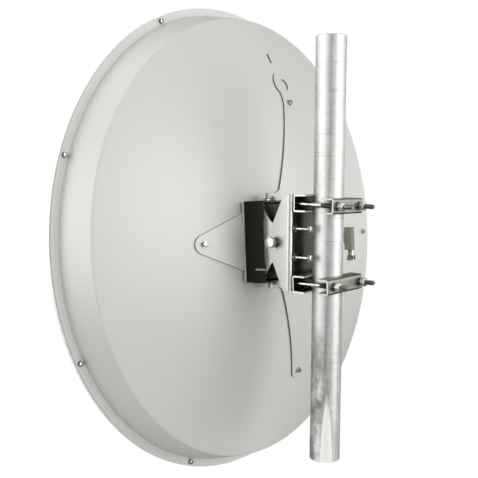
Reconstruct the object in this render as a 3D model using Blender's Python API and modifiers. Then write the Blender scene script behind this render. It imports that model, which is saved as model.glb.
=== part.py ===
# Parabolic dish antenna of 0.92 m on a length of steel mast, with its two-axis bracket.
#
# Metres, +Z up along the mast. The origin is the centre of the mast's lower end face.
# The dish looks towards -Y. Its axis passes the mast on the -X side, because the bracket
# stands on one arm of the plate behind the dish and leaves the centre free for the feed.
# Two empties hold the moving bodies: the yoke tilts about X, the dish swings about the
# yoke's upright bolts.

import math

import bmesh
import bpy
from mathutils import Matrix, Vector

MM = 0.001
GAP = 0.3 * MM

# mast
MAST_RADIUS = 25.4 * MM
MAST_WALL = 3.0 * MM
MAST_HEIGHT = 705 * MM
FOOT_PLATE = 6 * MM

# bracket axes
PIVOT_FORWARD = 72 * MM
PIVOT_HEIGHT = 365.8 * MM
TILT = math.radians(3.2)
SWING_FORWARD = 45 * MM
DISH_OFFSET = 135 * MM
FLANGE_FORWARD = 246.5 * MM

# reflector, as radius and height behind the flange's front face
DISH_RADIUS = 460 * MM
SHEET = 2.2 * MM
FLANGE_INNER = 447.5 * MM
FILLET = 8 * MM
CORNER_RADIUS = 429.4 * MM
CORNER_HEIGHT = 66.1 * MM
FOCAL_LENGTH = 355 * MM
HUB_HOLE = 11.3 * MM
DISH_SEGMENTS = 72
SLOT_RADII = (340 * MM, 359 * MM)
SLOT_SIDES = (0.5 * MM, 6 * MM)

# radome
RADOME_RADIUS = 460.5 * MM
RADOME_EDGE = 7.7 * MM
RADOME_BULGE = 18 * MM
RADOME_WALL = 3 * MM

# screws and bolts, as shaft radii
M5 = 2.5 * MM
M6 = 3.0 * MM
M8 = 4.0 * MM
M10 = 5.0 * MM
HOLE_PLAY = 0.4 * MM
RIM_SCREWS = 8
RIM_SCREW_RADIUS = 452 * MM
RIM_SCREW_FIRST = math.radians(24.85)

# arm plate behind the dish
ARM_SHEET = 2.5 * MM
ARM_SCREW_RADIUS = 258.3 * MM
ARM_SCREW_SEAT = 0.6 * MM
ARM_TIP_CENTRE = 256.7 * MM
ARM_TIP_RADIUS = 17 * MM
ARM_CORNER = 90 * MM
ARM_RISE = 1.0 * MM
ARM_GAP = 0.5 * MM
ARM_HUB_HOLE = 20 * MM
EYE_CENTRE = 296 * MM
EYE_RADIUS = 23.5 * MM
EYE_HOLE = 11 * MM
EYE_HOLE_SIDE = -6 * MM
EYE_NECK = 15 * MM

# dish bracket
BOX_HALF_WIDTH = 46.5 * MM
BOX_FOOT_HALF_WIDTH = 48 * MM
BOX_HALF_HEIGHT = 70.5 * MM
BOX_BACK = -26.5 * MM
BOX_FRONT = -80 * MM
BOX_SHEET = 2.5 * MM
BOX_SLIT_HEIGHT = -47 * MM
BOX_SLIT_LENGTH = 20 * MM
BOX_SLIT_WIDTH = 2.5 * MM

# yoke
YOKE_HALF_WIDTH = 36.5 * MM
YOKE_SHEET = 2.5 * MM
YOKE_BEND = 3.5 * MM
YOKE_WEB_BACK = -34.5 * MM
YOKE_TAB_HALF_WIDTH = 26 * MM
YOKE_TAB_SHOULDER = -42 * MM
YOKE_TAB_ROUND = 8.5 * MM
YOKE_COLLAR_RADIUS = 7 * MM
YOKE_TIP_RADIUS = 13 * MM
YOKE_WING_TOP = 58.6 * MM
YOKE_WING_BEND = (-20.9 * MM, 37.5 * MM)

# mast bracket
BRACKET_HALF_WIDTH = 52 * MM
BRACKET_HALF_HEIGHT = 80.4 * MM
BRACKET_SHEET = 2.5 * MM
BRACKET_BEND = 7 * MM
BRACKET_FACE = 40.3 * MM
BRACKET_TIP_RADIUS = 17.5 * MM
BRACKET_TOP_EDGE = 14.2 * MM

# mast clamps, whose bolts and saddles were not tightened square to the mast
CLAMP_HALF_LENGTH = 45 * MM
CLAMP_SECTION = 28.8 * MM
CLAMP_DEPTH = 23.5 * MM
CLAMP_SHEET = 2.8 * MM
CLAMP_BEND = 3.8 * MM
CLAMP_BOLT_OFFSET = 32.7 * MM
SADDLE_SECTION = 25.5 * MM
SADDLE_FACE = 38 * MM
CLAMP_HEIGHTS = {"upper": 66 * MM, "lower": -66 * MM}
CLAMP_ROLLS = {"upper": 0, "lower": math.radians(3)}
BOLT_TILTS = {"upper": math.radians(-2.3), "lower": 0}
BOLT_DROPS = {"upper": 2.3 * MM, "lower": 0}
SADDLE_TURNS = {"upper": 0, "lower": math.radians(-6.5)}
LEFT_BOLT_ENDS = {"upper": 66.5 * MM, "lower": 60 * MM}
RIGHT_BOLT_ENDS = {"upper": 67.5 * MM, "lower": 71 * MM}

# two bolts that stand out of the bracket's web beside the mast
WEB_BOLT_OFFSET = 39 * MM
WEB_BOLT_HEIGHT = 23.8 * MM
WEB_BOLT_END = -6 * MM

# feed
FEED_TUBE_RADIUS = 11 * MM
FEED_TUBE_END = 22.6 * MM
ADAPTER_WIDTH = 11 * MM
ADAPTER_DEPTH = 15.4 * MM
ADAPTER_HEIGHT = 41.6 * MM
ADAPTER_DROP = 2.9 * MM
CONNECTOR_BACK = 3 * MM
CONNECTOR_NECK = 6 * MM
CONNECTOR_THREAD = 7.95 * MM

ROUND = 24


def clear_scene():
    for old in list(bpy.data.objects):
        bpy.data.objects.remove(old, do_unlink=True)


def new_collection(name):
    made = bpy.data.collections.new(name)
    bpy.context.scene.collection.children.link(made)
    return made


def principled(name, colour, roughness, metallic):
    material = bpy.data.materials.new(name)
    material.use_nodes = True
    shader = material.node_tree.nodes["Principled BSDF"]
    shader.inputs["Base Color"].default_value = (*colour, 1)
    shader.inputs["Roughness"].default_value = roughness
    shader.inputs["Metallic"].default_value = metallic
    return material


def add_object(name, data, collection, parent=None, location=(0, 0, 0), rotation=(0, 0, 0)):
    made = bpy.data.objects.new(name, data)
    collection.objects.link(made)
    made.parent = parent
    made.location = location
    made.rotation_euler = rotation
    return made


def finish_mesh(mesh, matrix=None):
    """Joins loose caps, turns the faces outwards and shades the round sides smooth."""
    work = bmesh.new()
    work.from_mesh(mesh)
    if matrix is not None:
        work.transform(matrix)
    bmesh.ops.remove_doubles(work, verts=work.verts, dist=0.00001)
    bmesh.ops.recalc_face_normals(work, faces=work.faces)
    work.to_mesh(mesh)
    work.free()
    mesh.shade_smooth()
    mesh.set_sharp_from_angle(angle=math.radians(30))
    return mesh


def evaluated_mesh(source):
    bpy.context.view_layer.update()
    graph = bpy.context.evaluated_depsgraph_get()
    return bpy.data.meshes.new_from_object(source.evaluated_get(graph))


def cylinder(radius, low, high, segments=ROUND):
    """A closed cylinder along Z, from low to high."""
    work = bmesh.new()
    bmesh.ops.create_cone(
        work, cap_ends=True, segments=segments, radius1=radius, radius2=radius, depth=high - low
    )
    bmesh.ops.translate(work, verts=work.verts, vec=(0, 0, (low + high) / 2))
    mesh = bpy.data.meshes.new("cylinder")
    work.to_mesh(mesh)
    work.free()
    return finish_mesh(mesh)


def hexagon(across_flats, low, high):
    return cylinder(across_flats / math.sqrt(3), low, high, segments=6)


def block(low, high):
    """A closed box between two corners."""
    work = bmesh.new()
    bmesh.ops.create_cube(work, size=1)
    size = Vector(high) - Vector(low)
    middle = (Vector(high) + Vector(low)) / 2
    bmesh.ops.scale(work, verts=work.verts, vec=size)
    bmesh.ops.translate(work, verts=work.verts, vec=middle)
    mesh = bpy.data.meshes.new("block")
    work.to_mesh(mesh)
    work.free()
    return finish_mesh(mesh)


def plate(outline, low, high, matrix=None):
    """A flat outline in X and Y, made solid from low to high along Z."""
    curve = bpy.data.curves.new("outline", "CURVE")
    curve.dimensions = "2D"
    curve.fill_mode = "BOTH"
    curve.extrude = (high - low) / 2
    spline = curve.splines.new("POLY")
    spline.points.add(len(outline) - 1)
    for point, (x, y) in zip(spline.points, outline):
        point.co = (x, y, 0, 1)
    spline.use_cyclic_u = True
    holder = add_object("outline", curve, CUTTERS)
    mesh = evaluated_mesh(holder)
    bpy.data.objects.remove(holder)
    placed = Matrix.Translation((0, 0, (low + high) / 2))
    return finish_mesh(mesh, placed if matrix is None else matrix @ placed)


def turned(profile, segments, closed=False, thickness=0):
    """A profile of (radius, height) points swept round Z. Thickness makes an open sheet solid."""
    mesh = bpy.data.meshes.new("profile")
    edges = [(i, i + 1) for i in range(len(profile) - 1)]
    if closed:
        edges.append((len(profile) - 1, 0))
    mesh.from_pydata([(radius, 0, height) for radius, height in profile], edges, [])
    holder = add_object("profile", mesh, CUTTERS)
    sweep = holder.modifiers.new("sweep", "SCREW")
    sweep.steps = segments
    sweep.render_steps = segments
    sweep.use_merge_vertices = True
    sweep.merge_threshold = 0.00005
    if thickness:
        sheet = holder.modifiers.new("sheet", "SOLIDIFY")
        sheet.thickness = thickness
        sheet.offset = -1
        sheet.use_even_offset = True
    made = evaluated_mesh(holder)
    bpy.data.objects.remove(holder)
    return finish_mesh(made)


def arc(centre, radius, start, end, steps):
    """Points along an arc, with the angles in degrees."""
    angles = [math.radians(start + (end - start) * i / steps) for i in range(steps + 1)]
    return [(centre[0] + radius * math.cos(a), centre[1] + radius * math.sin(a)) for a in angles]


def together(placed):
    """Several (mesh, matrix) pairs as one mesh."""
    work = bmesh.new()
    for mesh, matrix in placed:
        mesh.transform(matrix)
        work.from_mesh(mesh)
    joined = bpy.data.meshes.new("together")
    work.to_mesh(joined)
    work.free()
    return joined


def combine(target, mesh, operation, matrix=None):
    """Joins a mesh to the target, or cuts it away, through a hidden object at the same place."""
    name = target.name + "_" + operation.lower()
    other = add_object(name, mesh, CUTTERS, target.parent, target.location, target.rotation_euler)
    if matrix is not None:
        other.data.transform(matrix)
    other.hide_render = True
    other.display_type = "WIRE"
    step = target.modifiers.new(operation.lower(), "BOOLEAN")
    step.operation = operation
    step.solver = "EXACT"
    step.object = other
    return target


def piece(name, mesh, material, parent=None, location=(0, 0, 0), rotation=(0, 0, 0)):
    """One named sub-part with its own material."""
    mesh.materials.clear()
    mesh.materials.append(material)
    return add_object(name, mesh, PARTS, parent, location, rotation)


def empty(name, parent, location, rotation=(0, 0, 0)):
    made = add_object(name, None, PARTS, parent, location, rotation)
    made.empty_display_size = 0.05
    return made


# turns +Z to +Y, and +Z to +X
ALONG_Y = Matrix.Rotation(-math.pi / 2, 4, "X")
ALONG_X = Matrix.Rotation(math.pi / 2, 4, "Y")
# an outline drawn as (Y, Z) stands in the Y-Z plane, and its thickness runs along X
SIDE_VIEW = Matrix(((0, 0, 1, 0), (1, 0, 0, 0), (0, 1, 0, 0), (0, 0, 0, 1)))


def left_tangent(corner, radius):
    """Angle at which the line from a corner touches the left side of a circle at the origin."""
    return math.degrees(math.atan2(corner[1], corner[0]) + math.acos(radius / math.hypot(*corner)))


def right_tangent(corner, radius):
    """Angle at which the line from a corner touches the right side of a circle at the origin."""
    return math.degrees(math.atan2(corner[1], corner[0]) - math.acos(radius / math.hypot(*corner)))


def dish_height(radius):
    """Height of the reflector's back above the flange plane."""
    return CORNER_HEIGHT + (CORNER_RADIUS**2 - radius**2) / (4 * FOCAL_LENGTH)


def arm_height(radius):
    """Height of the arm plate's dish side: it touches at the screws and stands off towards the centre."""
    share = min(radius / ARM_SCREW_RADIUS, 1)
    return dish_height(radius) + ARM_GAP + ARM_RISE * (1 - share**2)


def make_mast():
    bore = MAST_RADIUS - MAST_WALL
    wall = [(MAST_RADIUS, MAST_HEIGHT), (MAST_RADIUS, 0), (bore, 0), (bore, MAST_HEIGHT)]
    piece("mast_tube", turned(wall, 48, closed=True), GALVANISED)
    piece("mast_foot_plate", cylinder(bore - GAP, 0, FOOT_PLATE, 48), GALVANISED)


def channel_section(half_width, depth, sheet, bend, steps=4):
    """A bent U as an outline in X and Y: the web lies along X at Y = 0 and the sides rise to depth."""
    inner = bend - sheet
    outer = arc((half_width - bend, bend), bend, -90, 0, steps)
    inside = arc((half_width - bend, bend), inner, 0, -90, steps)
    right = outer + [(half_width, depth), (half_width - sheet, depth)] + inside
    return right + [(-x, y) for x, y in reversed(right)]


def bracket_side():
    """Side view of the mast bracket from its web to the round tip, with the pivot at the origin."""
    web = PIVOT_FORWARD - BRACKET_FACE
    corner = (web - BRACKET_TOP_EDGE, BRACKET_HALF_HEIGHT)
    touch = left_tangent(corner, BRACKET_TIP_RADIUS)
    upper = [(web + 1 * MM, BRACKET_HALF_HEIGHT + 1 * MM), (corner[0], BRACKET_HALF_HEIGHT + 1 * MM), corner]
    tip = arc((0, 0), BRACKET_TIP_RADIUS, touch, 360 - touch, 8)
    return upper + tip + [(x, -y) for x, y in reversed(upper)]


def make_mast_bracket():
    """The folded bracket that the clamps hold: a web against the clamps and two pivot wings."""
    reach = PIVOT_FORWARD - BRACKET_FACE + BRACKET_TIP_RADIUS + 1 * MM
    section = channel_section(BRACKET_HALF_WIDTH, reach, BRACKET_SHEET, BRACKET_BEND)
    turn = Matrix.Translation((0, -BRACKET_FACE, 0)) @ Matrix.Rotation(math.pi, 4, "Z")
    folded = plate(section, -BRACKET_HALF_HEIGHT, BRACKET_HALF_HEIGHT, turn)
    bracket = piece("mast_bracket", folded, STAINLESS, location=(0, 0, PIVOT_HEIGHT))
    shift = Matrix.Translation((0, -PIVOT_FORWARD, 0))
    combine(bracket, plate(bracket_side(), -60 * MM, 60 * MM, SIDE_VIEW), "INTERSECT", shift)
    combine(bracket, cylinder(M10 + HOLE_PLAY, -60 * MM, 60 * MM), "DIFFERENCE", shift @ ALONG_X)
    from_pivot = Matrix.Translation((0, 0, -PIVOT_HEIGHT))
    for level in CLAMP_HEIGHTS:
        for x in (-CLAMP_BOLT_OFFSET, CLAMP_BOLT_OFFSET):
            spot = from_pivot @ bolt_place(level) @ Matrix.Translation((x, 0, 0)) @ ALONG_Y
            combine(bracket, cylinder(M8 + HOLE_PLAY, -50 * MM, -35 * MM), "DIFFERENCE", spot)
    for height in (-WEB_BOLT_HEIGHT, WEB_BOLT_HEIGHT):
        spot = Matrix.Translation((WEB_BOLT_OFFSET, 0, height))
        combine(bracket, cylinder(M6 + HOLE_PLAY, -50 * MM, -35 * MM), "DIFFERENCE", spot @ ALONG_Y)


def clamp_place(level):
    """Places a clamp's own frame, whose origin is on the mast's axis."""
    centre = Matrix.Translation((0, 0, PIVOT_HEIGHT + CLAMP_HEIGHTS[level]))
    return centre @ Matrix.Rotation(CLAMP_ROLLS[level], 4, "Y")


def bolt_place(level):
    """Places the frame of a clamp's two bolts, which lean a little in it."""
    lowered = Matrix.Translation((0, 0, -BOLT_DROPS[level]))
    return clamp_place(level) @ lowered @ Matrix.Rotation(BOLT_TILTS[level], 4, "X")


def saddle_place(level):
    """Places the frame of a clamp's saddle, which is turned a little on its bolts."""
    return bolt_place(level) @ Matrix.Rotation(SADDLE_TURNS[level], 4, "Z")


def make_clamp_half(name, place, bolts, width, face, side):
    """A folded channel across the mast, notched to seat on it, with its web at a distance of face."""
    section = channel_section(width / 2, CLAMP_DEPTH, CLAMP_SHEET, CLAMP_BEND)
    # the section's X becomes Z, its Y points back to the mast, and the length runs along X
    stand = Matrix(((0, 0, 1, 0), (0, -side, 0, side * face), (1, 0, 0, 0), (0, 0, 0, 1)))
    folded = plate(section, -CLAMP_HALF_LENGTH, CLAMP_HALF_LENGTH, stand)
    half = piece(name, folded, STAINLESS, None, place.translation, place.to_euler())
    inward = place.inverted()
    combine(half, cylinder(MAST_RADIUS + GAP, 0.2, 0.6, 48), "DIFFERENCE", inward)
    for x in (-CLAMP_BOLT_OFFSET, CLAMP_BOLT_OFFSET):
        spot = inward @ bolts @ Matrix.Translation((x, 0, 0)) @ ALONG_Y
        combine(half, cylinder(M8 + HOLE_PLAY, -60 * MM, 60 * MM), "DIFFERENCE", spot)


def make_clamp_bolt(name, place, end):
    """A long bolt with its head inside the bracket."""
    head = -(BRACKET_FACE + BRACKET_SHEET + 2 * GAP)
    shaft = cylinder(M8, head - 2 * MM, end, 16)
    bolt = piece("clamp_bolt_" + name, shaft, PLATED, None, place.translation, place.to_euler())
    combine(bolt, hexagon(13 * MM, head - 5.3 * MM, head), "UNION", ALONG_Y)
    bolt.data.transform(ALONG_Y)


def make_clamp_nut(name, place, x, turn):
    """A washer that lies on the turned saddle, with a spring washer and a nut behind it."""
    seat = (SADDLE_FACE + x * math.sin(turn)) / math.cos(turn) + GAP
    stack = cylinder(6.8 * MM, seat + 1 * MM, seat + 6 * MM)
    nut = piece("clamp_nut_" + name, stack, PLATED, None, place.translation, place.to_euler())
    flat = Matrix.Translation((0, seat, 0)) @ Matrix.Rotation(turn, 4, "Z") @ ALONG_Y
    combine(nut, cylinder(8 * MM, 0, 1.6 * MM), "UNION", flat)
    combine(nut, hexagon(13 * MM, seat + 5 * MM, seat + 12 * MM), "UNION", ALONG_Y)
    combine(nut, cylinder(M8 + GAP, 0, 0.1, 16), "DIFFERENCE", ALONG_Y)
    nut.data.transform(ALONG_Y)


def make_clamps():
    for level in CLAMP_HEIGHTS:
        bolts = bolt_place(level)
        channel_face = BRACKET_FACE - GAP
        channel = clamp_place(level)
        make_clamp_half("clamp_channel_" + level, channel, bolts, CLAMP_SECTION, channel_face, -1)
        saddle = saddle_place(level)
        make_clamp_half("clamp_saddle_" + level, saddle, bolts, SADDLE_SECTION, SADDLE_FACE, 1)
        left = CLAMP_BOLT_OFFSET
        for side, x, ends in (("left", left, LEFT_BOLT_ENDS), ("right", -left, RIGHT_BOLT_ENDS)):
            spot = bolts @ Matrix.Translation((x, 0, 0))
            make_clamp_bolt(level + "_" + side, spot, ends[level])
            make_clamp_nut(level + "_" + side, spot, x, SADDLE_TURNS[level])


def make_web_bolts():
    """Two bolts with their nuts inside the bracket and their heads out beside the mast."""
    for level, height in (("upper", WEB_BOLT_HEIGHT), ("lower", -WEB_BOLT_HEIGHT)):
        inside = -(BRACKET_FACE + BRACKET_SHEET + GAP)
        shaft = cylinder(M6, inside - 7 * MM, WEB_BOLT_END - 1 * MM, 16)
        bolt = piece("web_bolt_" + level, shaft, PLATED, location=(WEB_BOLT_OFFSET, 0, PIVOT_HEIGHT + height))
        outside = -BRACKET_FACE + GAP
        combine(bolt, hexagon(10 * MM, WEB_BOLT_END - 5 * MM, WEB_BOLT_END), "UNION", ALONG_Y)
        combine(bolt, cylinder(6.5 * MM, outside, outside + 1.6 * MM), "UNION", ALONG_Y)
        combine(bolt, hexagon(10 * MM, inside - 5 * MM, inside), "UNION", ALONG_Y)
        bolt.data.transform(ALONG_Y)


def make_elevation_pivot():
    """On each side a bolt with washers and a nut, and a spacer between the two wings."""
    centre = (0, -PIVOT_FORWARD, PIVOT_HEIGHT)
    outside = BRACKET_HALF_WIDTH + GAP
    inside = YOKE_HALF_WIDTH - YOKE_SHEET - GAP
    low = YOKE_HALF_WIDTH + GAP
    high = BRACKET_HALF_WIDTH - BRACKET_SHEET - GAP
    bore = M10 + GAP
    ring = [(9 * MM, high), (9 * MM, low), (bore, low), (bore, high)]
    for side, turn in (("left", 0), ("right", math.pi)):
        place = Matrix.Rotation(turn, 4, "Z") @ ALONG_X
        shaft = cylinder(M10, inside - 9 * MM, outside + 9 * MM)
        bolt = piece("pivot_bolt_" + side, shaft, PLATED, location=centre)
        combine(bolt, cylinder(10.3 * MM, outside, outside + 2.2 * MM), "UNION", place)
        combine(bolt, cylinder(8.8 * MM, outside + 2 * MM, outside + 8 * MM), "UNION", place)
        combine(bolt, hexagon(17 * MM, outside + 7.6 * MM, outside + 15.5 * MM), "UNION", place)
        combine(bolt, hexagon(17 * MM, inside - 8 * MM, inside), "UNION", place)
        bolt.data.transform(place)
        spacer = piece("pivot_spacer_" + side, turned(ring, ROUND, closed=True), PLATED, location=centre)
        spacer.data.transform(place)


def make_yoke(tilt_axis):
    """A folded plate inside the dish bracket: a web, two tabs forward and two wings back to the pivot."""
    wings = channel_section(YOKE_HALF_WIDTH, YOKE_TIP_RADIUS - YOKE_WEB_BACK + 3 * MM, YOKE_SHEET, YOKE_BEND)
    web_front = Matrix.Translation((0, YOKE_WEB_BACK - YOKE_SHEET, 0))
    folded = plate(wings, -YOKE_WING_TOP, YOKE_WING_TOP, web_front)
    yoke = piece("yoke", folded, STAINLESS, tilt_axis)
    combine(yoke, plate(yoke_side(), -60 * MM, 60 * MM, SIDE_VIEW), "INTERSECT")
    combine(yoke, yoke_tabs(), "UNION")
    combine(yoke, cylinder(M10 + HOLE_PLAY, -60 * MM, 60 * MM), "DIFFERENCE", ALONG_X)
    swing = Matrix.Translation((0, -SWING_FORWARD, 0))
    combine(yoke, cylinder(M10 + HOLE_PLAY, -0.1, 0.1), "DIFFERENCE", swing)


def yoke_tabs():
    """The web's upper and lower ends folded forward, with round corners."""
    height = BOX_HALF_HEIGHT - BOX_SHEET - GAP
    reach = YOKE_WEB_BACK + SWING_FORWARD + YOKE_TAB_ROUND + 1 * MM
    section = channel_section(height, reach, YOKE_SHEET, YOKE_BEND)
    # the section's X becomes Z, its Y points to the dish, and the width runs along X
    stand = Matrix(((0, 0, 1, 0), (0, -1, 0, YOKE_WEB_BACK), (1, 0, 0, 0), (0, 0, 0, 1)))
    half = YOKE_TAB_HALF_WIDTH
    tabs = add_object("yoke_tabs", plate(section, -half, half, stand), CUTTERS)
    outline = [(half, YOKE_WEB_BACK + 1 * MM), (half, YOKE_TAB_SHOULDER)]
    outline += arc((0, -SWING_FORWARD), YOKE_TAB_ROUND, -20, -160, 10)
    outline += [(-half, YOKE_TAB_SHOULDER), (-half, YOKE_WEB_BACK + 1 * MM)]
    combine(tabs, plate(outline, -0.1, 0.1), "INTERSECT")
    return taken(tabs)


def yoke_side():
    """Side view of the yoke's web and wings, with the pivot at the origin."""
    front = YOKE_WEB_BACK - YOKE_SHEET
    edge = YOKE_WEB_BACK
    touch = right_tangent(YOKE_WING_BEND, YOKE_TIP_RADIUS)
    upper = [(front - 1 * MM, YOKE_WING_TOP + 1 * MM), (edge, YOKE_WING_TOP + 1 * MM)]
    upper += [(edge, YOKE_WING_TOP), YOKE_WING_BEND]
    tip = arc((0, 0), YOKE_TIP_RADIUS, touch, -touch, 12)
    return upper + tip + [(x, -y) for x, y in reversed(upper)]


def make_azimuth_bolts(tilt_axis):
    """The upright bolts that the dish bracket swings on, heads outside and nuts under the tabs."""
    outside = BOX_HALF_HEIGHT + GAP
    inside = BOX_HALF_HEIGHT - BOX_SHEET - YOKE_SHEET - 2 * GAP
    centre = (0, -SWING_FORWARD, 0)
    for end, turn in (("top", 0), ("bottom", math.pi)):
        place = Matrix.Rotation(turn, 4, "X")
        shaft = cylinder(M10, inside - 9 * MM, outside + 8 * MM)
        bolt = piece("azimuth_bolt_" + end, shaft, PLATED, tilt_axis, centre)
        combine(bolt, cylinder(10.3 * MM, outside, outside + 2.2 * MM), "UNION", place)
        combine(bolt, cylinder(8.8 * MM, outside + 2 * MM, outside + 6.6 * MM), "UNION", place)
        combine(bolt, hexagon(16 * MM, outside + 6.2 * MM, outside + 13.4 * MM), "UNION", place)
        combine(bolt, cylinder(YOKE_COLLAR_RADIUS, inside - 6 * MM, inside), "UNION", place)
        bolt.data.transform(place)


def make_dish_bracket(swing_axis):
    """Four walls on a foot that follows the arm plate, open towards the mast."""
    height = BOX_HALF_HEIGHT
    inner = (BOX_HALF_WIDTH - BOX_SHEET, BOX_HALF_HEIGHT - BOX_SHEET)
    forward = Matrix.Translation((0, SWING_FORWARD, 0))
    body = block((-BOX_HALF_WIDTH, BOX_FRONT, -height), (BOX_HALF_WIDTH, BOX_BACK, height))
    body.transform(forward)
    box = piece("dish_bracket", body, STAINLESS, swing_axis)
    combine(box, seat_under_box(GAP), "DIFFERENCE")
    combine(box, box_foot(forward), "UNION")
    hollow = block((-inner[0], BOX_FRONT - 5 * MM, -inner[1]), (inner[0], BOX_BACK + 5 * MM, inner[1]))
    combine(box, hollow, "DIFFERENCE", forward)
    combine(box, cylinder(M10 + HOLE_PLAY, -0.1, 0.1), "DIFFERENCE")
    slit = block(
        (inner[0] - 2 * MM, BOX_BACK - BOX_SLIT_LENGTH, BOX_SLIT_HEIGHT - BOX_SLIT_WIDTH / 2),
        (BOX_HALF_WIDTH + 2 * MM, BOX_BACK + 2 * MM, BOX_SLIT_HEIGHT + BOX_SLIT_WIDTH / 2),
    )
    combine(box, slit, "DIFFERENCE", forward)


def dish_place():
    """The spun dish frame as seen from the swing axis: +Z points back along the dish's axis, -Y up."""
    centre = (-DISH_OFFSET, SWING_FORWARD - FLANGE_FORWARD, 0)
    return Matrix.Translation(centre) @ Matrix.Rotation(-math.pi / 2, 4, "X")


def seat_under_box(lift):
    """What lies in front of the foot: straight up and down, and bent along X as the arm plate is."""
    steps = 8
    reach = 60 * MM
    outline = [(-reach, -0.3), (reach, -0.3)]
    for i in range(steps + 1):
        x = reach * (1 - 2 * i / steps)
        outline.append((x, SWING_FORWARD - FLANGE_FORWARD + arm_height(x + DISH_OFFSET) + ARM_SHEET + lift))
    return plate(outline, -0.1, 0.1)


def box_foot(forward):
    """A strip that lies on the arm plate under each wall and reaches a little beyond it."""
    width = BOX_FOOT_HALF_WIDTH
    height = BOX_HALF_HEIGHT
    mesh = block((-width, BOX_FRONT, -height), (width, BOX_BACK, height))
    mesh.transform(forward)
    foot = add_object("box_foot", mesh, CUTTERS)
    combine(foot, seat_under_box(GAP), "DIFFERENCE")
    combine(foot, seat_under_box(GAP + BOX_SHEET), "INTERSECT")
    return taken(foot)


def taken(helper):
    """The finished mesh of a helper object, which goes away with what shaped it."""
    mesh = evaluated_mesh(helper)
    for used in [modifier.object for modifier in helper.modifiers]:
        bpy.data.objects.remove(used)
    bpy.data.objects.remove(helper)
    return mesh


def reflector_profile():
    """The back of the reflector, from the hub out over the corner and down to the flange's edge."""
    steps = 13
    radii = [HUB_HOLE + (CORNER_RADIUS - HUB_HOLE) * i / steps for i in range(steps + 1)]
    profile = [(radius, dish_height(radius)) for radius in radii]
    profile += arc((FLANGE_INNER, SHEET + FILLET), FILLET, 180, 270, 3)
    return profile + [(DISH_RADIUS, SHEET)]


def rim_spot(index):
    """Places a rim screw's own frame in the spun dish frame."""
    angle = RIM_SCREW_FIRST + 2 * math.pi * index / RIM_SCREWS
    return Matrix.Translation((RIM_SCREW_RADIUS * math.sin(angle), -RIM_SCREW_RADIUS * math.cos(angle), 0))


def rim_holes(low, high):
    """All the rim screw holes as one cutting mesh."""
    return together([(cylinder(M5 + HOLE_PLAY, low, high, 10), rim_spot(i)) for i in range(RIM_SCREWS)])


def make_reflector(dish_frame):
    sheet = turned(reflector_profile(), DISH_SEGMENTS, thickness=SHEET)
    reflector = piece("reflector", sheet, DISH_PAINT, dish_frame)
    combine(reflector, rim_holes(-5 * MM, 8 * MM), "DIFFERENCE")
    low, high = SLOT_RADII
    slot = block((SLOT_SIDES[0], -high, 70 * MM), (SLOT_SIDES[1], -low, 140 * MM))
    combine(reflector, slot, "DIFFERENCE")


def make_radome(dish_frame):
    """A shallow domed cover, whose thick edge stands in front of the flange."""
    steps = 7
    rounding = 3 * MM
    edge = RADOME_RADIUS - rounding
    lip = FLANGE_INNER - 6 * MM
    rise = [RADOME_BULGE * (1 - (i / steps) ** 2) for i in range(steps + 1)]
    front = [(edge * i / steps, -RADOME_EDGE - rise[i]) for i in range(steps)]
    front += arc((edge, -RADOME_EDGE + rounding), rounding, -90, 0, 3)
    back = [(lip * i / steps, RADOME_WALL - RADOME_EDGE - rise[i]) for i in range(steps + 1)]
    profile = front + [(RADOME_RADIUS, -GAP), (lip, -GAP)] + list(reversed(back))
    radome = piece("radome", turned(profile, DISH_SEGMENTS), RADOME_WHITE, dish_frame)
    combine(radome, rim_holes(-0.02, 0.01), "DIFFERENCE")


def make_rim_screws(dish_frame):
    front = -RADOME_EDGE - 1 * MM
    back = SHEET + GAP
    for index in range(RIM_SCREWS):
        place = rim_spot(index)
        shaft = cylinder(M5, front - 1 * MM, back + 6.5 * MM, 10)
        screw = piece("rim_screw_" + str(index + 1), shaft, PLATED, dish_frame)
        combine(screw, cylinder(5 * MM, back, back + 1 * MM, 16), "UNION", place)
        combine(screw, hexagon(8 * MM, back + 0.8 * MM, back + 4.8 * MM), "UNION", place)
        combine(screw, cylinder(4.8 * MM, front - 2.4 * MM, front, 12), "UNION", place)
        screw.data.transform(place)


def arm_outline():
    """Four tapering arms, the upper one with an eye beyond its screw."""
    lean = math.degrees(math.atan2(ARM_CORNER - ARM_TIP_RADIUS, ARM_TIP_CENTRE - ARM_CORNER))
    plain = arc((0, ARM_TIP_CENTRE), ARM_TIP_RADIUS, 180 - lean, lean, 8)
    outline = []
    for quarter in range(4):
        turn = Matrix.Rotation(-math.pi / 2 * quarter, 2)
        for point in [(-ARM_CORNER, ARM_CORNER)] + (eye_tip() if quarter == 0 else plain):
            outline.append(tuple(turn @ Vector(point)))
    return outline


def eye_tip():
    """The upper arm's end: a neck past the screw, then a round eye."""
    start = math.degrees(math.acos(-EYE_NECK / EYE_RADIUS))
    ring = arc((0, EYE_CENTRE), EYE_RADIUS, 360 - start, start - 180, 14)
    return [(-ARM_TIP_RADIUS, ARM_TIP_CENTRE)] + ring + [(ARM_TIP_RADIUS, ARM_TIP_CENTRE)]


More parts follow.
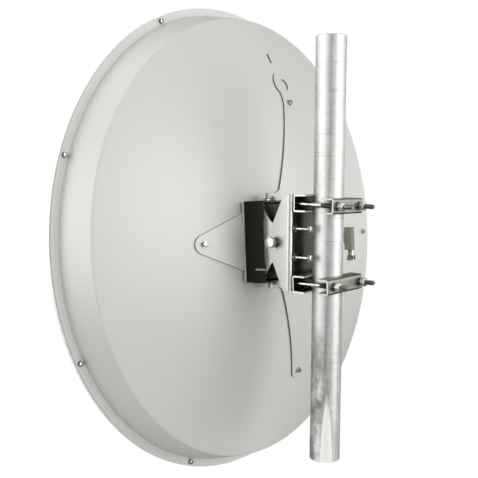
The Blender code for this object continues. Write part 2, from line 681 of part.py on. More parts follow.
def make_arm_plate(dish_frame):
    """A sheet that follows the back of the dish, cut to four arms."""
    steps = 9
    outer = EYE_CENTRE + EYE_RADIUS + 2 * MM
    radii = [ARM_HUB_HOLE + (outer - ARM_HUB_HOLE) * i / steps for i in range(steps + 1)]
    profile = [(radius, arm_height(radius) + ARM_SHEET) for radius in radii]
    arms = piece("arm_plate", turned(profile, DISH_SEGMENTS, thickness=ARM_SHEET), ARM_PAINT, dish_frame)
    holes = [(cylinder(M6 + HOLE_PLAY, -10 * MM, 10 * MM, 12), arm_screw_spot(index)) for index in range(4)]
    holes.append((cylinder(EYE_HOLE, 0, 0.3), Matrix.Translation((EYE_HOLE_SIDE, -EYE_CENTRE, 0))))
    combine(arms, together(holes), "DIFFERENCE")
    # in the spun frame the dish's upward direction is -Y
    combine(arms, plate(arm_outline(), 0, 0.3, Matrix.Scale(-1, 4, (0, 1, 0))), "INTERSECT")


def arm_screw_spot(index):
    """Places an arm screw's frame on the arm plate, with +Z square to the sheet."""
    slope = math.atan(ARM_SCREW_RADIUS / (2 * FOCAL_LENGTH))
    height = arm_height(ARM_SCREW_RADIUS) + ARM_SHEET
    around = Matrix.Rotation(math.pi / 2 * index, 4, "Z")
    upon = Matrix.Translation((0, -ARM_SCREW_RADIUS, height)) @ Matrix.Rotation(slope, 4, "X")
    return around @ upon @ Matrix.Rotation(math.radians(7), 4, "Z")


def make_arm_screws(dish_frame):
    for index, side in enumerate(("up", "left", "down", "right")):
        place = arm_screw_spot(index)
        screw = piece("arm_screw_" + side, cylinder(M6, -ARM_SHEET + GAP, 4 * MM, 12), PLATED, dish_frame)
        combine(screw, cylinder(5.8 * MM, ARM_SCREW_SEAT, ARM_SCREW_SEAT + 1.2 * MM, 16), "UNION", place)
        combine(screw, hexagon(8.6 * MM, ARM_SCREW_SEAT + 1 * MM, ARM_SCREW_SEAT + 4.6 * MM), "UNION", place)
        screw.data.transform(place)


def make_feed(dish_frame):
    """The waveguide that leaves the hub, its adapter block and the connector under it."""
    end = FLANGE_FORWARD + FEED_TUBE_END
    start = dish_height(0) - 12 * MM
    piece("feed_tube", cylinder(FEED_TUBE_RADIUS, start, end), DISH_PAINT, dish_frame)
    half_width = ADAPTER_WIDTH / 2
    half_height = ADAPTER_HEIGHT / 2
    near = end + GAP
    far = near + ADAPTER_DEPTH
    top = ADAPTER_DROP - half_height
    bottom = ADAPTER_DROP + half_height
    body = block((-half_width, top, near), (half_width, bottom, far))
    piece("feed_adapter", body, ADAPTER_GREY, dish_frame)
    neck = CONNECTOR_NECK
    thread = CONNECTOR_THREAD
    step = -9.5 * MM
    tip = -19.5 * MM
    profile = [(0, -GAP), (neck, -GAP), (neck, step), (thread, step), (thread, tip), (0, tip)]
    # in the spun frame down is +Y
    centre = (0, bottom, near + ADAPTER_DEPTH / 2 + CONNECTOR_BACK)
    piece("feed_connector", turned(profile, ROUND), CONNECTOR_PLATE, dish_frame, centre, (math.pi / 2, 0, 0))


def build():
    make_mast()
    make_mast_bracket()
    make_clamps()
    make_web_bolts()
    make_elevation_pivot()
    tilt_axis = empty("tilt_axis", None, (0, -PIVOT_FORWARD, PIVOT_HEIGHT), (TILT, 0, 0))
    make_yoke(tilt_axis)
    make_azimuth_bolts(tilt_axis)
    swing_axis = empty("swing_axis", tilt_axis, (0, -SWING_FORWARD, 0))
    make_dish_bracket(swing_axis)
    dish_frame = empty("dish_frame", swing_axis, dish_place().translation, dish_place().to_euler())
    make_reflector(dish_frame)
    make_radome(dish_frame)
    make_rim_screws(dish_frame)
    make_arm_plate(dish_frame)
    make_arm_screws(dish_frame)
    make_feed(dish_frame)


clear_scene()
PARTS = new_collection("parabolic_dish_antenna")
CUTTERS = new_collection("cutters")
GALVANISED = principled("galvanised_steel", (0.62, 0.63, 0.64), 0.38, 1.0)
STAINLESS = principled("stainless_sheet", (0.66, 0.65, 0.62), 0.3, 1.0)
PLATED = principled("plated_bolts", (0.6, 0.6, 0.57), 0.32, 1.0)
DISH_PAINT = principled("reflector_paint", (0.66, 0.66, 0.62), 0.45, 0.0)
ARM_PAINT = principled("arm_paint", (0.66, 0.66, 0.62), 0.45, 0.0)
RADOME_WHITE = principled("radome_plastic", (0.85, 0.85, 0.83), 0.4, 0.0)
ADAPTER_GREY = principled("adapter_grey", (0.24, 0.24, 0.21), 0.5, 0.0)
CONNECTOR_PLATE = principled("connector_plating", (0.7, 0.62, 0.45), 0.25, 1.0)
build()
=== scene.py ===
# Looks of the 0.92 m parabolic dish antenna, built around its CAD model.
#
# Metres, +Z up along the mast. The origin is the centre of the mast's lower end face.
# The dish looks towards -Y, and the photograph shows it from behind, from the +X +Y side.

import math

import bmesh
import bpy
from mathutils import Matrix, Vector


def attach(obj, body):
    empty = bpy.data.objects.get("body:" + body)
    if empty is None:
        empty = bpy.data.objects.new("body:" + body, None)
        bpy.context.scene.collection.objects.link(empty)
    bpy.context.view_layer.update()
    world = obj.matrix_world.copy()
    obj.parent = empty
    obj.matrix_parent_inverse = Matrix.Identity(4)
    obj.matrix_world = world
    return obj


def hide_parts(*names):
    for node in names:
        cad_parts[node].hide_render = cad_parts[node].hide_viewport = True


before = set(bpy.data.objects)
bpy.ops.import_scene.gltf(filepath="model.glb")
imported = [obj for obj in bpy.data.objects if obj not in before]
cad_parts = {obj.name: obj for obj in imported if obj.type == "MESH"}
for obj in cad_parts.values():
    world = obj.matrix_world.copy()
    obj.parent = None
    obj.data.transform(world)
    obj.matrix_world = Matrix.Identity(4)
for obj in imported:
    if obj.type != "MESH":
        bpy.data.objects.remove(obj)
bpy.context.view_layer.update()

MM = 0.001
GAP = 0.3 * MM
# how far cutting shapes reach, so that they pass right through the sheets
THROUGH = 100 * MM
# rules that pick a face's look: slack for a place, and the least share of a normal along its axis
NEAR = 0.1 * MM
SQUARE = 0.9
EDGE_BEVEL = 0.3 * MM
# what a step of shaping does with the other mesh
CUT = "DIFFERENCE"
KEEP = "INTERSECT"
JOIN = "UNION"

# mast
MAST_RADIUS = 25.4 * MM
MAST_WALL = 3.0 * MM
MAST_HEIGHT = 705 * MM
MAST_SEGMENTS = 160

# bracket axes
PIVOT_FORWARD = 72 * MM
PIVOT_HEIGHT = 365.8 * MM
TILT = math.radians(3.2)
SWING_FORWARD = 45 * MM
DISH_OFFSET = 135 * MM
FLANGE_FORWARD = 246.5 * MM

# reflector, as radius and height behind the flange's front face
DISH_RADIUS = 460 * MM
SHEET = 2.2 * MM
FLANGE_BURR = 0.4 * MM
FLANGE_INNER = 447.5 * MM
FILLET = 3 * MM
CORNER_RADIUS = 429.4 * MM
CORNER_HEIGHT = 66.1 * MM
CORNER_ROUND = 3 * MM
FOCAL_LENGTH = 355 * MM
HUB_HOLE = 11.3 * MM
DISH_SEGMENTS = 288
SLOT_RADII = (340 * MM, 359 * MM)
SLOT_SIDES = (0.5 * MM, 6 * MM)
SLOT_HEIGHTS = (70 * MM, 140 * MM)

# radome
RADOME_RADIUS = 460.5 * MM
RADOME_EDGE = 7.7 * MM
RADOME_BULGE = 18 * MM
RADOME_WALL = 3 * MM

# screws and bolts, as shaft radii
M5 = 2.5 * MM
M6 = 3.0 * MM
M8 = 4.0 * MM
M10 = 5.0 * MM
# by shaft radius: the pitch of the thread, and the width of nuts and heads across their flats
PITCH = {M5: 0.8 * MM, M6: 1.0 * MM, M8: 1.25 * MM, M10: 1.5 * MM}
FLATS = {M5: 8 * MM, M6: 10 * MM, M8: 13 * MM, M10: 17 * MM}
HOLE_PLAY = 0.4 * MM
# tints of a fastener's parts, as places in its list of looks: the darker one is painted shade on washers
# stacked between parts, the brighter one a painted highlight on nuts and heads
SHADE_TINT = 1
HIGHLIGHT_TINT = 2
RIM_SCREWS = 8
RIM_SCREW_RADIUS = 452 * MM
RIM_SCREW_FIRST = math.radians(24.85)
RIM_SCREW_STEP = 0.7

# arm plate behind the dish
ARM_SHEET = 2.5 * MM
ARM_SCREW_RADIUS = 258.3 * MM
ARM_SCREW_SEAT = 0.2 * MM
ARM_SCREW_FLATS = 8.6 * MM
ARM_SCREW_TWIST = math.radians(7)
ARM_TIP_CENTRE = 256.7 * MM
ARM_TIP_RADIUS = 17 * MM
ARM_CORNER = 90 * MM
ARM_RISE = 1.0 * MM
ARM_GAP = 0.5 * MM
ARM_HUB_HOLE = 20 * MM
EYE_CENTRE = 296 * MM
EYE_RADIUS = 23.5 * MM
EYE_HOLE = 11 * MM
EYE_HOLE_SIDE = -6 * MM
EYE_NECK = 15 * MM

# dish bracket
BOX_HALF_WIDTH = 46.5 * MM
BOX_FOOT_HALF_WIDTH = 48 * MM
BOX_HALF_HEIGHT = 70.5 * MM
BOX_BACK = -26.5 * MM
BOX_FRONT = -80 * MM
BOX_SHEET = 2.5 * MM
BOX_SLIT_HEIGHT = -47 * MM
BOX_SLIT_LENGTH = 20 * MM
BOX_SLIT_WIDTH = 1.0 * MM
BOX_SLIT_RIM = 1.2 * MM

# yoke
YOKE_HALF_WIDTH = 36.5 * MM
YOKE_SHEET = 2.5 * MM
YOKE_BEND = 3.5 * MM
YOKE_WEB_BACK = -34.5 * MM
YOKE_TAB_HALF_WIDTH = 26 * MM
YOKE_TAB_SHOULDER = -42 * MM
YOKE_TAB_ROUND = 8.5 * MM
YOKE_COLLAR_RADIUS = 7 * MM
AZIMUTH_FLATS = 16 * MM
YOKE_TIP_RADIUS = 13 * MM
YOKE_WING_TOP = 58.6 * MM
YOKE_WING_BEND = (-20.9 * MM, 37.5 * MM)

# mast bracket
BRACKET_HALF_WIDTH = 52 * MM
BRACKET_HALF_HEIGHT = 80.4 * MM
BRACKET_SHEET = 2.5 * MM
BRACKET_BEND = 7 * MM
BRACKET_FACE = 40.3 * MM
BRACKET_TIP_RADIUS = 17.5 * MM
BRACKET_TOP_EDGE = 14.2 * MM

# mast clamps, whose bolts and saddles were not tightened square to the mast
CLAMP_HALF_LENGTH = 45 * MM
CLAMP_SECTION = 28.8 * MM
CLAMP_DEPTH = 23.5 * MM
CLAMP_SHEET = 2.8 * MM
CLAMP_BEND = 3.8 * MM
CLAMP_BOLT_OFFSET = 32.7 * MM
CLAMP_THREAD_START = 8 * MM
SADDLE_SECTION = 25.5 * MM
SADDLE_FACE = 38 * MM
CLAMP_HEIGHTS = {"upper": 66 * MM, "lower": -66 * MM}
CLAMP_ROLLS = {"upper": 0, "lower": math.radians(3)}
BOLT_TILTS = {"upper": math.radians(-2.3), "lower": 0}
BOLT_DROPS = {"upper": 2.3 * MM, "lower": 0}
SADDLE_TURNS = {"upper": 0, "lower": math.radians(-6.5)}
# a clamp half's looks: outer side, inner side and cut edges; the dark inner look is painted shade
CHANNEL_LOOKS = ("clamp", "dark", "edge")
SADDLE_LOOKS = {"upper": ("clamp", "dark", "shaded_edge"), "lower": ("shaded_clamp", "dark", "edge")}
# the clamp bolts on each side: place along X, ends at the two clamps and look of the thread, painted
# lighter on the left as painted light
CLAMP_BOLTS = {
    "left": (CLAMP_BOLT_OFFSET, {"upper": 66.5 * MM, "lower": 60 * MM}, "lit_thread"),
    "right": (-CLAMP_BOLT_OFFSET, {"upper": 67.5 * MM, "lower": 71 * MM}, "thread"),
}

# two bolts that stand out of the bracket's web beside the mast
WEB_BOLT_OFFSET = 39 * MM
WEB_BOLT_HEIGHT = 23.8 * MM
WEB_BOLT_END = -6 * MM

# feed
FEED_TUBE_RADIUS = 11 * MM
FEED_TUBE_END = 22.6 * MM
ADAPTER_WIDTH = 11 * MM
ADAPTER_DEPTH = 15.4 * MM
ADAPTER_HEIGHT = 41.6 * MM
ADAPTER_DROP = 2.9 * MM
CONNECTOR_BACK = 3 * MM
CONNECTOR_NECK = 6 * MM
CONNECTOR_THREAD = 7.95 * MM
CONNECTOR_PITCH = 1.06 * MM
CONNECTOR_GROOVES = 8
CONNECTOR_TOP = -9.5 * MM
CONNECTOR_END = -19.5 * MM
CONNECTOR_MOUTH = 6 * MM

# camera, fitted to the photograph
CAMERA_PLACE = (1.08876, 0.70282, 0.46508)
CAMERA_RIGHT = (-0.63542, 0.77213, 0.00815)
CAMERA_UP = (-0.05098, -0.05248, 0.99732)
CAMERA_LENS = 58.34

# stage
FLOOR_HEIGHT = -1.2
FLOOR_RADIUS = 1.6
TENT_LIGHT = 0.14
HORIZON_LIGHT = 0.85
HORIZON_TOP = 0.5
HORIZON_FOOT = -0.35
DOME_FOOT = -0.3
DOME_TOP = 0.2
# share of a soft box's half-angle that is at full strength
BOX_CORE = 0.45
# each soft box: compass angle from +X towards +Y, height angle, strength and half-angle
SOFT_BOXES = (
    (-24, 8, 2.55, 41),
    (104, 12, 3.4, 37),
    (55, 62, 0.45, 30),
    (-72, 20, 1.3, 36),
    (-60, 70, 1.2, 32),
)

# directions of a drawn grain
UPRIGHT = (1, 1, 0.03)
LEVEL = (0.03, 1, 1)
# compass angles of the mast's dull side, which faces away from the dish's middle, and of the pale patch
# painted as a reflection of the lit floor
DULL_SIDE = -42
FLOOR_REFLECTION_SIDE = 38


# frames

def moved(x=0, y=0, z=0):
    return Matrix.Translation((x, y, z))


def turned(angle, axis):
    return Matrix.Rotation(angle, 4, axis)


# turns +Z to +Y, and +Z to +X
ALONG_Y = turned(-math.pi / 2, "X")
ALONG_X = turned(math.pi / 2, "Y")
# an outline drawn as (Y, Z) stands in the Y-Z plane, and its thickness runs along X
SIDE_VIEW = Matrix(((0, 0, 1, 0), (1, 0, 0, 0), (0, 1, 0, 0), (0, 0, 0, 1)))

PIVOT = moved(0, -PIVOT_FORWARD, PIVOT_HEIGHT)
TILT_AXIS = PIVOT @ turned(TILT, "X")
SWING_AXIS = TILT_AXIS @ moved(0, -SWING_FORWARD)
# the spun dish frame: +Z points back along the dish's axis, and -Y is up
DISH_FRAME = SWING_AXIS @ moved(-DISH_OFFSET, SWING_FORWARD - FLANGE_FORWARD) @ ALONG_Y


# meshes

def finished(work):
    """Turns a bmesh into a mesh with its faces outwards, round sides smooth and corners sharp."""
    bmesh.ops.recalc_face_normals(work, faces=work.faces)
    mesh = bpy.data.meshes.new("mesh")
    work.to_mesh(mesh)
    work.free()
    mesh.shade_smooth()
    mesh.set_sharp_from_angle(angle=math.radians(32))
    return mesh


def placed(mesh, matrix):
    mesh.transform(matrix)
    return mesh


def spun(profile, segments=48, closed=False):
    """Sweeps (radius, height) points round Z. A radius of 0 becomes one point on the axis."""
    work = bmesh.new()
    rings = []
    for radius, height in profile:
        count = segments if radius > 0 else 1
        angles = [math.tau * i / segments for i in range(count)]
        rings.append([work.verts.new((radius * math.cos(a), radius * math.sin(a), height)) for a in angles])
    skin(work, rings, segments, closed)
    return finished(work)


def skin(work, rings, segments, closed=False):
    """Faces between each ring of points and the next one."""
    following = rings[1:] + (rings[:1] if closed else [])
    for lower, upper in zip(rings, following):
        for i in range(segments):
            here = (lower[i % len(lower)], lower[(i + 1) % len(lower)])
            there = (upper[(i + 1) % len(upper)], upper[i % len(upper)])
            work.faces.new(list(dict.fromkeys(here + there)))


def cylinder(radius, low, high, segments=48):
    return spun([(0, low), (radius, low), (radius, high), (0, high)], segments)


def rim(radius, low, high, chamfer):
    """A round side as a profile, with its two corners cut at 45 degrees."""
    inner = radius - chamfer
    return [(inner, low), (radius, low + chamfer), (radius, high - chamfer), (inner, high)]


def chamfered(radius, low, high, chamfer, segments=48):
    """A cylinder with its rims cut."""
    return spun([(0, low)] + rim(radius, low, high, chamfer) + [(0, high)], segments)


def ring(inner, outer, low, high, chamfer=0.25 * MM, segments=48):
    """A flat ring with its outer rims cut."""
    return spun([(inner, low)] + rim(outer, low, high, chamfer) + [(inner, high)], segments, closed=True)


def extruded(outline, low, high):
    """A flat outline in X and Y, made solid from low to high along Z."""
    work = bmesh.new()
    lower = [work.verts.new((x, y, low)) for x, y in outline]
    upper = [work.verts.new((x, y, high)) for x, y in outline]
    work.faces.new(lower)
    work.faces.new(upper)
    skin(work, [lower, upper], len(outline))
    return finished(work)


def slab(outline, half_length, place):
    """A flat outline made solid to both sides of a place."""
    return placed(extruded(outline, -half_length, half_length), place)


def hole(radius, place):
    """What a bolt's hole takes out along the Z of a place."""
    return placed(cylinder(radius + HOLE_PLAY, -THROUGH, THROUGH), place)


def block(low, high):
    outline = [(low[0], low[1]), (high[0], low[1]), (high[0], high[1]), (low[0], high[1])]
    return extruded(outline, low[2], high[2])


def even(start, end, steps):
    """Evenly spaced values from start to end."""
    return [start + (end - start) * i / steps for i in range(steps + 1)]


def arc(centre, radius, start, end, steps):
    """Points along an arc, with the angles in degrees."""
    angles = [math.radians(angle) for angle in even(start, end, steps)]
    return [(centre[0] + radius * math.cos(a), centre[1] + radius * math.sin(a)) for a in angles]


def tinted(mesh, index):
    """The mesh with all its faces set to one of the piece's looks."""
    for polygon in mesh.polygons:
        polygon.material_index = index
    return mesh


def together(meshes):
    """Several meshes as one."""
    work = bmesh.new()
    for mesh in meshes:
        work.from_mesh(mesh)
    return finished(work)


def linked(name, data):
    """A new object in the scene."""
    made = bpy.data.objects.new(name, data)
    bpy.context.scene.collection.objects.link(made)
    return made


def evaluated(source):
    bpy.context.view_layer.update()
    graph = bpy.context.evaluated_depsgraph_get()
    return bpy.data.meshes.new_from_object(source.evaluated_get(graph))


def shaped(mesh, steps):
    """The mesh after a list of (operation, other mesh) steps."""
    helpers = [linked("helper", mesh)]
    for operation, other in steps:
        helpers.append(linked("helper", other))
        step = helpers[0].modifiers.new("step", "BOOLEAN")
        step.operation = operation
        step.solver = "EXACT"
        step.object = helpers[-1]
    result = evaluated(helpers[0])
    for used in helpers:
        bpy.data.objects.remove(used)
    return cleaned(result)


def cleaned(mesh):
    """Joins doubled points and drops lone corners on straight edges."""
    work = bmesh.new()
    work.from_mesh(mesh)
    bmesh.ops.remove_doubles(work, verts=work.verts, dist=0.02 * MM)
    bmesh.ops.dissolve_limit(work, angle_limit=math.radians(0.3), verts=work.verts, edges=work.edges)
    return finished(work)


def thickened(mesh, thickness):
    """An open sheet made solid on its inner side."""
    sheet = linked("helper", mesh)
    step = sheet.modifiers.new("sheet", "SOLIDIFY")
    step.thickness = thickness
    step.offset = -1
    step.use_even_offset = True
    result = evaluated(sheet)
    bpy.data.objects.remove(sheet)
    return result


def show(node, mesh, body, looks, bevel=0, rule=None):
    """Shows a mesh in place of a CAD node. A rule names each face's look by its middle and its normal."""
    made = linked(node + "_fine", mesh)
    for look in looks:
        mesh.materials.append(MATERIALS[look])
    if rule:
        for polygon in mesh.polygons:
            polygon.material_index = looks.index(rule(polygon.center, polygon.normal))
    if bevel:
        edge = made.modifiers.new("edge", "BEVEL")
        edge.width = bevel
        edge.segments = 2
        edge.limit_method = "ANGLE"
        edge.angle_limit = math.radians(40)
        edge.harden_normals = True
    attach(made, body)
    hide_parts(node)


def show_bolt(node, parts, place, body="mast", looks=("bolt", "thread", "head"), rule=None):
    """A fastener of several parts, each with the look that its tint picks."""
    show(node, placed(together(parts), place), body, looks, rule=rule)


# fasteners, along Z

def thread(radius, low, high, segments=28):
    """A threaded rod, whose upper end tapers."""
    pitch = PITCH[radius]
    depth = 0.6 * pitch
    per_turn = 4
    steps = int((high - low) / pitch * per_turn)
    work = bmesh.new()
    rings = [[work.verts.new((0, 0, low))]]
    for step in range(steps + 1):
        height = low + (high - low) * step / steps
        end_cut = max(0, radius * 0.85 - (high - height))
        points = []
        for i in range(segments):
            turn = i / segments
            wave = abs(((height - low) / pitch + turn) % 1 * 2 - 1)
            reach = min(radius - depth * wave, radius - end_cut * 0.5)
            angle = math.tau * turn
            points.append(work.verts.new((reach * math.cos(angle), reach * math.sin(angle), height)))
        rings.append(points)
    rings.append([work.verts.new((0, 0, high))])
    skin(work, rings, segments)
    return finished(work)


def thread_down(radius, high, length):
    """A threaded end that hangs down from a height."""
    return placed(thread(radius, 0, length), moved(z=high) @ turned(math.pi, "X"))


def hexagon(across_flats, low, high, cut_low=True, cut_high=True):
    """A six-sided nut or head with its corners turned down."""
    corner = across_flats / math.sqrt(3)
    flat = across_flats / 2 * 0.97
    drop = (corner - flat) * math.tan(math.radians(30))
    wide = corner + 0.1 * MM
    bottom = [(flat, low), (wide, low + drop)] if cut_low else [(2 * corner, low)]
    top = [(wide, high - drop), (flat, high)] if cut_high else [(2 * corner, high)]
    envelope = spun([(0, low)] + bottom + top + [(0, high)], 36)
    return shaped(cylinder(corner, low, high, segments=6), [(KEEP, envelope)])


def spring_washer(inner, outer, low, high):
    """A split ring whose two ends stand a little apart."""
    segments = 40
    opening = math.radians(9)
    thick = high - low
    bottom = low + 0.1 * thick
    top = high - 0.1 * thick
    corners = ((inner, bottom), (outer, bottom), (outer, top), (inner, top))
    work = bmesh.new()
    rings = []
    for step in range(segments + 1):
        share = step / segments
        x = math.cos(opening / 2 + (math.tau - opening) * share)
        y = math.sin(opening / 2 + (math.tau - opening) * share)
        lift = thick * 0.18 * (share - 0.5)
        rings.append([work.verts.new((radius * x, radius * y, level + lift)) for radius, level in corners])
    skin(work, rings, len(corners))
    work.faces.new(rings[0])
    work.faces.new(rings[-1])
    return finished(work)


# materials

def new_material(name, colour, roughness, metallic):
    """A material with plain values, and its shader."""
    material = bpy.data.materials.new(name)
    material.use_nodes = True
    shader = material.node_tree.nodes["Principled BSDF"]
    shader.inputs["Base Color"].default_value = (*colour, 1)
    shader.inputs["Roughness"].default_value = roughness
    shader.inputs["Metallic"].default_value = metallic
    return material, shader


def plug(socket, value):
    """Links another node's output to a socket, or sets a plain value."""
    if isinstance(value, bpy.types.NodeSocket):
        socket.id_data.links.new(value, socket)
    else:
        socket.default_value = value


def add_node(beside, kind, **inputs):
    """A new node in the same tree as another node or socket, with its inputs given by name."""
    made = beside.id_data.nodes.new(kind)
    for name, value in inputs.items():
        plug(made.inputs[name.replace("_", " ")], value)
    return made


def pattern(shader, scale, stretch=(1, 1, 1), detail=3, roughness=0.5):
    """A soft noise over the piece. A stretch below 1 draws it out along that axis."""
    place = add_node(shader, "ShaderNodeTexCoord").outputs["Object"]
    drawn = add_node(shader, "ShaderNodeMapping", Vector=place, Scale=stretch).outputs["Vector"]
    settings = {"Scale": scale, "Detail": detail, "Roughness": roughness}
    return add_node(shader, "ShaderNodeTexNoise", Vector=drawn, **settings).outputs["Fac"]


def spread(value, low, high, from_low=0.3, from_high=0.7, kind="LINEAR"):
    """A value between from_low and from_high carried over to low and high."""
    ends = {"From_Min": from_low, "From_Max": from_high, "To_Min": low, "To_Max": high}
    made = add_node(value, "ShaderNodeMapRange", Value=value, **ends)
    made.interpolation_type = kind
    return made.outputs["Result"]


def math_node(operation, first, second):
    made = add_node(first, "ShaderNodeMath")
    made.operation = operation
    for socket, value in zip(made.inputs, (first, second)):
        plug(socket, value)
    return made.outputs["Value"]


def plus(first, second):
    return math_node("ADD", first, second)


def times(first, second):
    return math_node("MULTIPLY", first, second)


def mixed(factor, first, second):
    """A colour between two, or between another mix and a colour."""
    made = add_node(factor, "ShaderNodeMix")
    made.data_type = "RGBA"
    plug(next(socket for socket in made.inputs if socket.type == "VALUE"), factor)
    colour_inputs = [socket for socket in made.inputs if socket.type == "RGBA"]
    for socket, value in zip(colour_inputs, (first, second)):
        plug(socket, value if isinstance(value, bpy.types.NodeSocket) else (*value, 1))
    return next(socket for socket in made.outputs if socket.type == "RGBA")


def drive(shader, colour, roughness, height, strength, distance):
    """Links a colour, a roughness and a relief to the shader."""
    bump = add_node(shader, "ShaderNodeBump", Height=height, Strength=strength, Distance=distance)
    plug(shader.inputs["Base Color"], colour)
    plug(shader.inputs["Roughness"], roughness)
    plug(shader.inputs["Normal"], bump.outputs["Normal"])


def powder_paint(name, light, dark, roughness, shine=0.5):
    """Sprayed paint: nearly even colour, a satin gloss and a fine orange-peel relief."""
    material, shader = new_material(name, light, roughness, 0)
    shader.inputs["Specular IOR Level"].default_value = shine
    tone = spread(pattern(shader, 5, detail=2), 0, 1)
    gloss = spread(pattern(shader, 12, detail=1), roughness - 0.01, roughness + 0.015)
    peel = pattern(shader, 420, detail=2)
    drive(shader, mixed(tone, dark, light), gloss, peel, 0.1, 0.1 * MM)
    return material


def direction_of(compass, height):
    """A unit vector at a compass angle from +X towards +Y and a height angle, both in degrees."""
    flat = math.cos(math.radians(height))
    around = math.radians(compass)
    return (flat * math.cos(around), flat * math.sin(around), math.sin(math.radians(height)))


def along(vector, direction):
    """How far a vector goes along a direction."""
    dot = add_node(vector, "ShaderNodeVectorMath", Vector=vector)
    dot.operation = "DOT_PRODUCT"
    dot.inputs[1].default_value = direction
    return dot.outputs["Value"]


def across(place, compass, rise):
    """1 where the mast faces a compass angle and less beside it, plus rise for each metre up."""
    x, y, _ = direction_of(compass, 0)
    return along(place, (x / MAST_RADIUS, y / MAST_RADIUS, rise))


def galvanised():
    """Hot-dip zinc on a tube: pale spangle, long drawn streaks, rubbed rings and a dull lower end."""
    material, shader = new_material("galvanised_tube", (0.6, 0.6, 0.58), 0.3, 1)
    place = add_node(shader, "ShaderNodeTexCoord").outputs["Object"]
    cells = add_node(shader, "ShaderNodeTexVoronoi", Vector=place, Scale=110, Randomness=1)
    spangle = add_node(shader, "ShaderNodeSeparateColor", Color=cells.outputs["Color"]).outputs["Red"]
    streaks = pattern(shader, 260, UPRIGHT, detail=4)
    patches = pattern(shader, 24, (1, 1, 0.55), detail=6, roughness=0.65)
    rubs = pattern(shader, 300, (0.05, 0.05, 1), detail=5, roughness=0.7)
    height = add_node(shader, "ShaderNodeSeparateXYZ", Vector=place).outputs["Z"]
    low_end = spread(height, 1, 0.12, 0.12, 0.3)
    dull = times(spread(patches, 0, 1, 0.44, 0.6), low_end)
    side = across(place, DULL_SIDE, 0)
    dull = times(dull, spread(side, 0.15, 1, 0.1, 0.6))
    pale = plus(spread(spangle, 0, 0.3, 0, 1), spread(streaks, 0, 0.7))
    colour = mixed(pale, (0.42, 0.42, 0.405), (0.68, 0.68, 0.67))
    colour = mixed(dull, colour, (0.2, 0.2, 0.175))
    scuff = spread(rubs, 0, 0.7, 0.595, 0.7)
    colour = mixed(scuff, colour, (0.24, 0.24, 0.225))
    # a pale patch, painted as the reflection of the lit floor, lies at the lower end and narrows upwards,
    # with a ragged edge
    ragged = spread(patches, -0.012, 0.012)
    floor_reflection = plus(across(place, FLOOR_REFLECTION_SIDE, -0.85), ragged)
    floor_reflection = spread(floor_reflection, 0, 0.9, 0.9, 0.915)
    colour = mixed(floor_reflection, colour, (0.86, 0.85, 0.81))
    plug(shader.inputs["Metallic"], spread(floor_reflection, 1, 0, 0, 1))
    gloss = plus(spread(streaks, 0.4, 0.58), times(dull, 0.1))
    gloss = plus(gloss, spread(spangle, 0, 0.05, 0, 1))
    relief = plus(streaks, times(patches, 0.8))
    drive(shader, colour, gloss, relief, 0.16, 0.25 * MM)
    return material


def brushed(name, light, dark, roughness, grain=UPRIGHT):
    """Sheet steel with a fine drawn grain, faint stains and a few rubbed marks."""
    material, shader = new_material(name, light, roughness, 1)
    lines = pattern(shader, 900, grain, detail=4)
    stains = pattern(shader, 45, detail=6, roughness=0.6)
    tone = plus(spread(lines, 0, 0.5), spread(stains, 0, 0.5))
    rubbed = spread(stains, -0.03, 0.05)
    gloss = plus(spread(lines, roughness - 0.05, roughness + 0.05), rubbed)
    drive(shader, mixed(tone, dark, light), gloss, lines, 0.1, 0.06 * MM)
    return material


def plated(name, light, dark, roughness):
    """Bright zinc on small steel parts, a little uneven, with darker stains."""
    material, shader = new_material(name, light, roughness, 1)
    stains = pattern(shader, 160, detail=6, roughness=0.65)
    grain = pattern(shader, 1500, detail=2)
    tone = spread(stains, 0, 1, 0.36, 0.62)
    gloss = spread(stains, roughness + 0.1, roughness - 0.04, 0.36, 0.62)
    drive(shader, mixed(tone, dark, light), gloss, grain, 0.08, 0.05 * MM)
    return material


